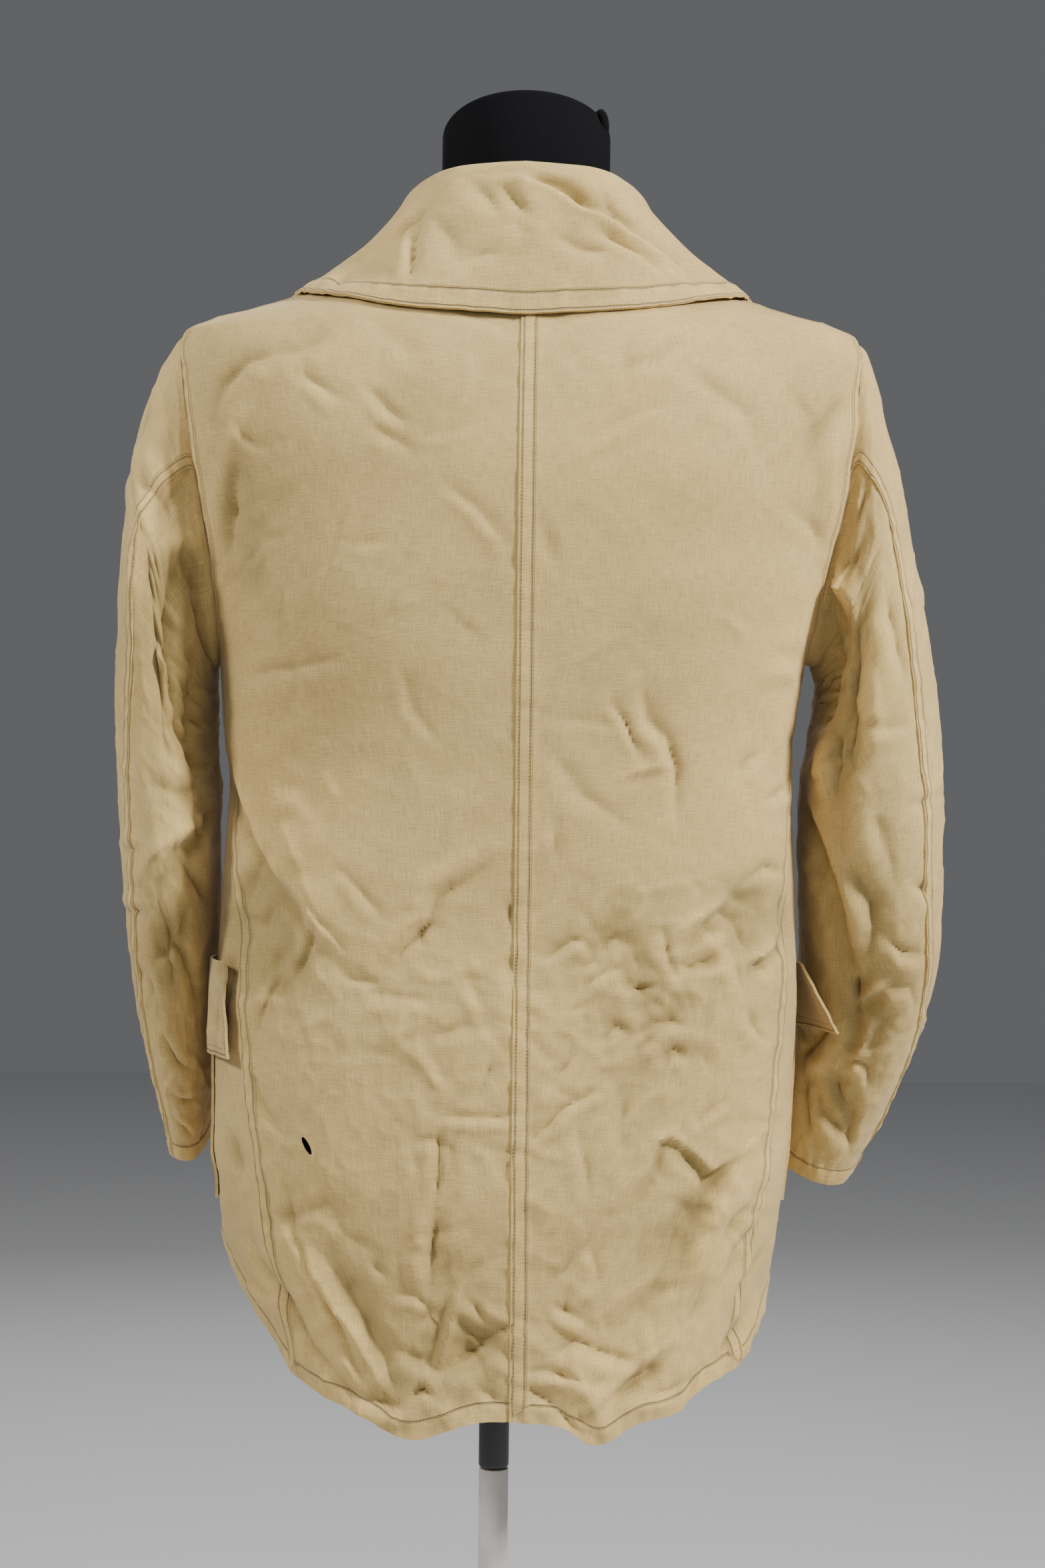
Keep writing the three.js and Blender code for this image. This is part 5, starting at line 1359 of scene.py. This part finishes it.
def edit_faces(obj, wanted):
    """Edit mode on one object, with the faces that the test picks selected."""
    select_only(obj)
    bpy.ops.object.mode_set(mode="OBJECT")
    for vertex in obj.data.vertices:
        vertex.select = False
    for edge in obj.data.edges:
        edge.select = False
    for face in obj.data.polygons:
        face.select = wanted(face)
    bpy.ops.object.mode_set(mode="EDIT")
    bpy.ops.mesh.select_mode(type="FACE")


def apply_bevel(obj, width, segments):
    bevel = obj.modifiers.new("edge", "BEVEL")
    bevel.width = width * MM
    bevel.segments = segments
    bevel.limit_method = "ANGLE"
    bevel.angle_limit = SHARP
    select_only(obj)
    bpy.ops.object.modifier_apply(modifier=bevel.name)
    bpy.ops.object.shade_smooth_by_angle(angle=SHARP)


def cylinder(name, radius, bottom, top, x=0.0, y=0.0, sides=64):
    bpy.ops.object.select_all(action="DESELECT")
    bpy.ops.mesh.primitive_cylinder_add(
        vertices=sides,
        radius=radius * MM,
        depth=(top - bottom) * MM,
        location=(x * MM, y * MM, (bottom + top) / 2 * MM),
    )
    obj = bpy.context.object
    obj.name = name
    bpy.ops.object.transform_apply(location=True, rotation=True, scale=True)
    return obj


def stretched_ball(place, radius, segments, rings, stretch, axis, lean):
    """A ball, its place given in metres, that is pulled out along its axes, then leaned round one of them."""
    bpy.ops.object.select_all(action="DESELECT")
    bpy.ops.mesh.primitive_uv_sphere_add(
        segments=segments, ring_count=rings, radius=radius * MM, location=place)
    ball = bpy.context.object
    bpy.ops.object.mode_set(mode="EDIT")
    bpy.ops.mesh.select_all(action="SELECT")
    bpy.ops.transform.resize(value=stretch, center_override=place)
    bpy.ops.transform.rotate(value=math.radians(lean), orient_axis=axis, center_override=place)
    bpy.ops.object.mode_set(mode="OBJECT")
    return ball


def cut_away(obj, cutter):
    cut = obj.modifiers.new("cut", "BOOLEAN")
    cut.operation = "DIFFERENCE"
    cut.solver = "EXACT"
    cut.object = cutter
    select_only(obj)
    bpy.ops.object.modifier_apply(modifier=cut.name)
    select_only(cutter)
    bpy.ops.object.delete()


def is_top(face):
    return face.normal.z > 0.9


# A button: a disc with a sunk middle, a raised rim and four holes, held by two crossing threads.
BUTTON = {"radius": 14.5, "thickness": 4.2, "rim": 2.6, "dish": 1.2, "edge": 0.45,
          "hole": 1.1, "hole_place": 2.5, "gap": 0.75}
BUTTON_ROWS = (1150, 1040, 930)
BUTTON_COLUMNS = (46, -46)
THREAD_REACH = 3.4
THREAD_HEIGHT = 2.9


def model_button():
    disc = cylinder("button", BUTTON["radius"], 0, BUTTON["thickness"], sides=48)
    edit_faces(disc, is_top)
    bpy.ops.mesh.inset(thickness=BUTTON["rim"] * MM)
    bpy.ops.transform.translate(value=(0, 0, -BUTTON["dish"] * MM))
    bpy.ops.object.mode_set(mode="OBJECT")
    for x in (-BUTTON["hole_place"], BUTTON["hole_place"]):
        for y in (-BUTTON["hole_place"], BUTTON["hole_place"]):
            cut_away(disc, cylinder("hole", BUTTON["hole"], -2, 8, x, y, 16))
    apply_bevel(disc, BUTTON["edge"], 2)
    return disc


def sew_on_button(pattern, number, x, z):
    """A copy of the button on the lapped front, facing out of the cloth."""
    away = turn_of_x(abs(x), z)
    turn = np.array([away if x >= 0 else 360 - away], float)
    out = np.array([CLOTH / 2 + BUTTON["gap"]])
    point, normal, _ = body_point(turn, np.array([float(z)]), out)
    place = Vector(point[0] * MM)
    facing = Vector(normal[0])
    across = Vector((0, 0, 1)).cross(facing).normalized()
    rise = facing.cross(across)
    button = pattern.copy()
    button.data = pattern.data.copy()
    button.name = f"button_{number}_disc"
    bpy.context.collection.objects.link(button)
    button.data.transform(Matrix((
        (across.x, rise.x, facing.x, place.x),
        (across.y, rise.y, facing.y, place.y),
        (across.z, rise.z, facing.z, place.z),
        (0, 0, 0, 1),
    )))
    stand_in(button, f"button_{number}", brown_plastic)
    for sign in (1, -1):
        ends = [
            place + (across * s + rise * s * sign) * THREAD_REACH * MM + facing * THREAD_HEIGHT * MM
            for s in (-1, 1)
        ]
        line = np.array([tuple(ends[0] / MM), tuple(ends[1] / MM)])
        stitch_places.append((line, np.array([tuple(facing), tuple(facing)])))


button_pattern = model_button()
button_places = [(x, z) for z in BUTTON_ROWS for x in BUTTON_COLUMNS]
for number, (x, z) in enumerate(button_places, 1):
    sew_on_button(button_pattern, number, x, z)
bpy.data.objects.remove(button_pattern)

# The form's neck: a covered block with a slanting top.
NECK_BLOCK = {"half_width": 61, "half_depth": 60, "y": 2, "bottom": 1360.4, "uncut_top": 1520,
              "front": 1453, "back": 1490, "edge": 5}
neck = cylinder("form_neck_block", NECK_BLOCK["half_width"], NECK_BLOCK["bottom"],
                NECK_BLOCK["uncut_top"], 0, NECK_BLOCK["y"], 96)
edit_faces(neck, lambda face: True)
middle_z = (NECK_BLOCK["front"] + NECK_BLOCK["back"]) / 2
slant = Vector((0, NECK_BLOCK["front"] - NECK_BLOCK["back"], 2 * NECK_BLOCK["half_depth"])).normalized()
bpy.ops.mesh.bisect(
    plane_co=(0, NECK_BLOCK["y"] * MM, middle_z * MM),
    plane_no=slant,
    use_fill=True,
    clear_outer=True,
)
bpy.ops.object.mode_set(mode="OBJECT")
apply_bevel(neck, NECK_BLOCK["edge"], 5)
stand_in(neck, "form_neck", black_jersey)

# A tuck of spare cloth at the top of the neck's side seam
TUCK_PLACE = (-0.053, 0.014, 1.4735)
TUCK_RADIUS = 7
TUCK_STRETCH = (0.95, 3.4, 1.15)
TUCK_LEAN = -17
tuck = stretched_ball(TUCK_PLACE, TUCK_RADIUS, 20, 12, TUCK_STRETCH, "X", TUCK_LEAN)
tuck.name = "form_neck_tuck"
bpy.ops.object.transform_apply(location=True, rotation=True, scale=True)
bpy.ops.object.shade_smooth()
give_finish(tuck, black_jersey)

# The stand: radius, bottom, top, width of the rounded edge and its segments
TUBES = (
    ("stand_sleeve", 11, 503, 705.7, 3, 4, "stand_plastic", black_plastic),
    ("stand_pole", 10.7, 32.3, 502.7, 0.6, 2, "stand_enamel", white_enamel),
)
for node, radius, bottom, top, edge, segments, slot, material in TUBES:
    tube = cylinder(node + "_tube", radius, bottom, top, STAND_X)
    apply_bevel(tube, edge, segments)
    stand_in(tube, node, material)

BASE = {"radius": 200, "thickness": 10, "flat": 176, "rise": 22, "taper": 0.83, "edge": 2}
base = cylinder("stand_base_plate", BASE["radius"], 0, BASE["thickness"], STAND_X, 0, 128)
edit_faces(base, is_top)
bpy.ops.mesh.inset(thickness=BASE["flat"] * MM)
bpy.ops.mesh.extrude_region_move(TRANSFORM_OT_translate={"value": (0, 0, BASE["rise"] * MM)})
bpy.ops.transform.resize(
    value=(BASE["taper"], BASE["taper"], 1),
    center_override=(STAND_X * MM, 0, (BASE["thickness"] + BASE["rise"]) * MM),
)
bpy.ops.object.mode_set(mode="OBJECT")
apply_bevel(base, BASE["edge"], 3)
stand_in(base, "stand_base", white_enamel)

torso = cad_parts["form_torso"]
torso.data.materials.clear()
torso.data.materials.append(black_jersey)

# The rip low on the left back: a slanting gap with frayed threads across it.
RIP = {"x": 142, "y": 100, "z": 751.5, "half_length": 7.0, "half_width": 2.1, "half_depth": 60, "lean": -30}
# Each frayed thread: how far along the rip, how far across it, its own turn
FRAYS = (
    (-6, 0.6, 60), (-3.5, -1.2, 25), (-1, 1.0, 80), (1.5, -0.6, 15), (3.5, 1.1, 65), (5.6, -0.3, 30),
    (7, 0.4, 75),
)
FRAY_REACH = 3.2
FRAY_OUT = 0.6
rip_place = Vector((RIP["x"] * MM, RIP["y"] * MM, RIP["z"] * MM))
rip_stretch = (RIP["half_width"], RIP["half_depth"], RIP["half_length"])
tear = stretched_ball(rip_place, 1, 16, 10, rip_stretch, "Y", RIP["lean"])
cut_away(bpy.data.objects["back_left_cloth"], tear)
rip_lean = math.radians(-RIP["lean"])
for along, across, turn in FRAYS:
    x = RIP["x"] + along * math.sin(rip_lean) + across * math.cos(rip_lean)
    z = RIP["z"] + along * math.cos(rip_lean) - across * math.sin(rip_lean)
    point, normal, _ = body_point(np.array([turn_of_x(x, z)]), np.array([z]), np.array([FRAY_OUT]))
    reach = np.array([math.cos(math.radians(turn)), 0, math.sin(math.radians(turn))]) * FRAY_REACH
    stitch_places.append((np.array([point[0] - reach, point[0] + reach]), np.repeat(normal, 2, axis=0)))


# Stitches: one is modelled, and its shape is laid along every row.
STITCH_PITCH = 2.5
STITCH_SHAPE = (0.95, 0.3, 0.24)
STITCH_OUT = 0.02
# How far before and after a stitch its row is looked at, to lay it along the row
STITCH_LOOK = 0.6


def along_run(values, run, where):
    """Values at places along a run."""
    return np.stack([np.interp(where, run, values[:, k]) for k in range(3)], -1)


def row_of_stitches(one, line, face):
    """The corners of every stitch in a row: each is turned to the row and to the cloth's facing."""
    steps = length(np.diff(line, axis=0))[..., 0]
    run = np.concatenate([[0], np.cumsum(steps)])
    at = np.arange(STITCH_PITCH / 2, run[-1] - STITCH_PITCH / 2, STITCH_PITCH)
    middle = along_run(line, run, at)
    ahead = along_run(line, run, at + STITCH_LOOK) - along_run(line, run, at - STITCH_LOOK)
    ahead = ahead / length(ahead)
    up = along_run(face, run, at)
    up = up - ahead * (up * ahead).sum(-1, keepdims=True)
    up = up / length(up)
    beside = np.cross(up, ahead)
    made = middle[:, None] + one[None, :, :1] * ahead[:, None]
    return made + one[None, :, 1:2] * beside[:, None] + (one[None, :, 2:] + STITCH_OUT) * up[:, None]


def stitches():
    bpy.ops.object.select_all(action="DESELECT")
    bpy.ops.mesh.primitive_ico_sphere_add(subdivisions=1, radius=1)
    piece = bpy.context.object
    piece.name = "stitches"
    mesh = piece.data
    one = np.empty(len(mesh.vertices) * 3)
    mesh.vertices.foreach_get("co", one)
    one = one.reshape(-1, 3) * STITCH_SHAPE
    faces = np.array([tuple(f.vertices) for f in mesh.polygons])
    points = np.concatenate([row_of_stitches(one, line, face) for line, face in stitch_places])
    first_corners = np.arange(len(points)) * len(one)
    corners = (faces[None] + first_corners[:, None, None]).reshape(-1, 3)
    mesh.clear_geometry()
    mesh.from_pydata((points.reshape(-1, 3) * MM).tolist(), [], corners.tolist())
    mesh.update()
    bpy.ops.object.shade_smooth()
    give_finish(piece, thread)


stitches()

# Floor, light and camera
FLOOR_SIZE = 14
FLOOR_GREY = (0.62, 0.62, 0.62, 1)
SKY = (0.82, 0.84, 0.88, 1)
SKY_STRENGTH = 0.15
# name, place, what it points at, width and height, watts
SOFTBOXES = (
    ("key", (-2.1, 1.25, 2.6), (0, 0, 1.15), (0.5, 0.5), 143),
    ("key_left", (2.3, 0.95, 2.5), (0, 0, 1.1), (0.5, 0.5), 60),
    ("fill", (-0.2, 3.2, 1.8), (0, 0, 1.1), (0.7, 0.9), 9),
    ("top", (0.2, 0.9, 3.0), (0, 0, 1.2), (0.9, 0.9), 16),
    ("front_fill", (0.4, -2.8, 2.2), (0, 0, 1.0), (1.6, 1.6), 20),
)
CAMERA_PLACE = (-0.0024, 1.9, 1.0)
CAMERA_TILT = math.radians(0.65)
LENS = 59.96
SENSOR_HEIGHT = 36

bpy.ops.object.select_all(action="DESELECT")
bpy.ops.mesh.primitive_plane_add(size=FLOOR_SIZE, location=(0, 0, 0))
floor = bpy.context.object
floor.name = "floor"
floor_material, _, floor_shader = new_material("pale_floor", 0.9)
plug(floor_shader, {"Base Color": FLOOR_GREY})
floor.data.materials.append(floor_material)

world = bpy.data.worlds.new("studio")
bpy.context.scene.world = world
world.use_nodes = True
plug(world.node_tree.nodes["Background"], {"Color": SKY, "Strength": SKY_STRENGTH})

for name, place, aim, size, watts in SOFTBOXES:
    bpy.ops.object.light_add(type="AREA", location=place)
    lamp = bpy.context.object
    lamp.name = name
    lamp.data.shape = "RECTANGLE"
    lamp.data.size = size[0]
    lamp.data.size_y = size[1]
    lamp.data.energy = watts
    lamp.rotation_euler = (Vector(aim) - Vector(place)).to_track_quat("-Z", "Y").to_euler()

bpy.ops.object.camera_add()
camera = bpy.context.object
camera.name = "camera"
camera.data.sensor_fit = "VERTICAL"
camera.data.sensor_height = SENSOR_HEIGHT
camera.data.lens = LENS
right = Vector((-math.cos(CAMERA_TILT), 0, math.sin(CAMERA_TILT)))
up = Vector((math.sin(CAMERA_TILT), 0, math.cos(CAMERA_TILT)))
back = right.cross(up)
camera.matrix_world = Matrix((
    (right.x, up.x, back.x, CAMERA_PLACE[0]),
    (right.y, up.y, back.y, CAMERA_PLACE[1]),
    (right.z, up.z, back.z, CAMERA_PLACE[2]),
    (0, 0, 0, 1),
))
bpy.context.scene.camera = camera
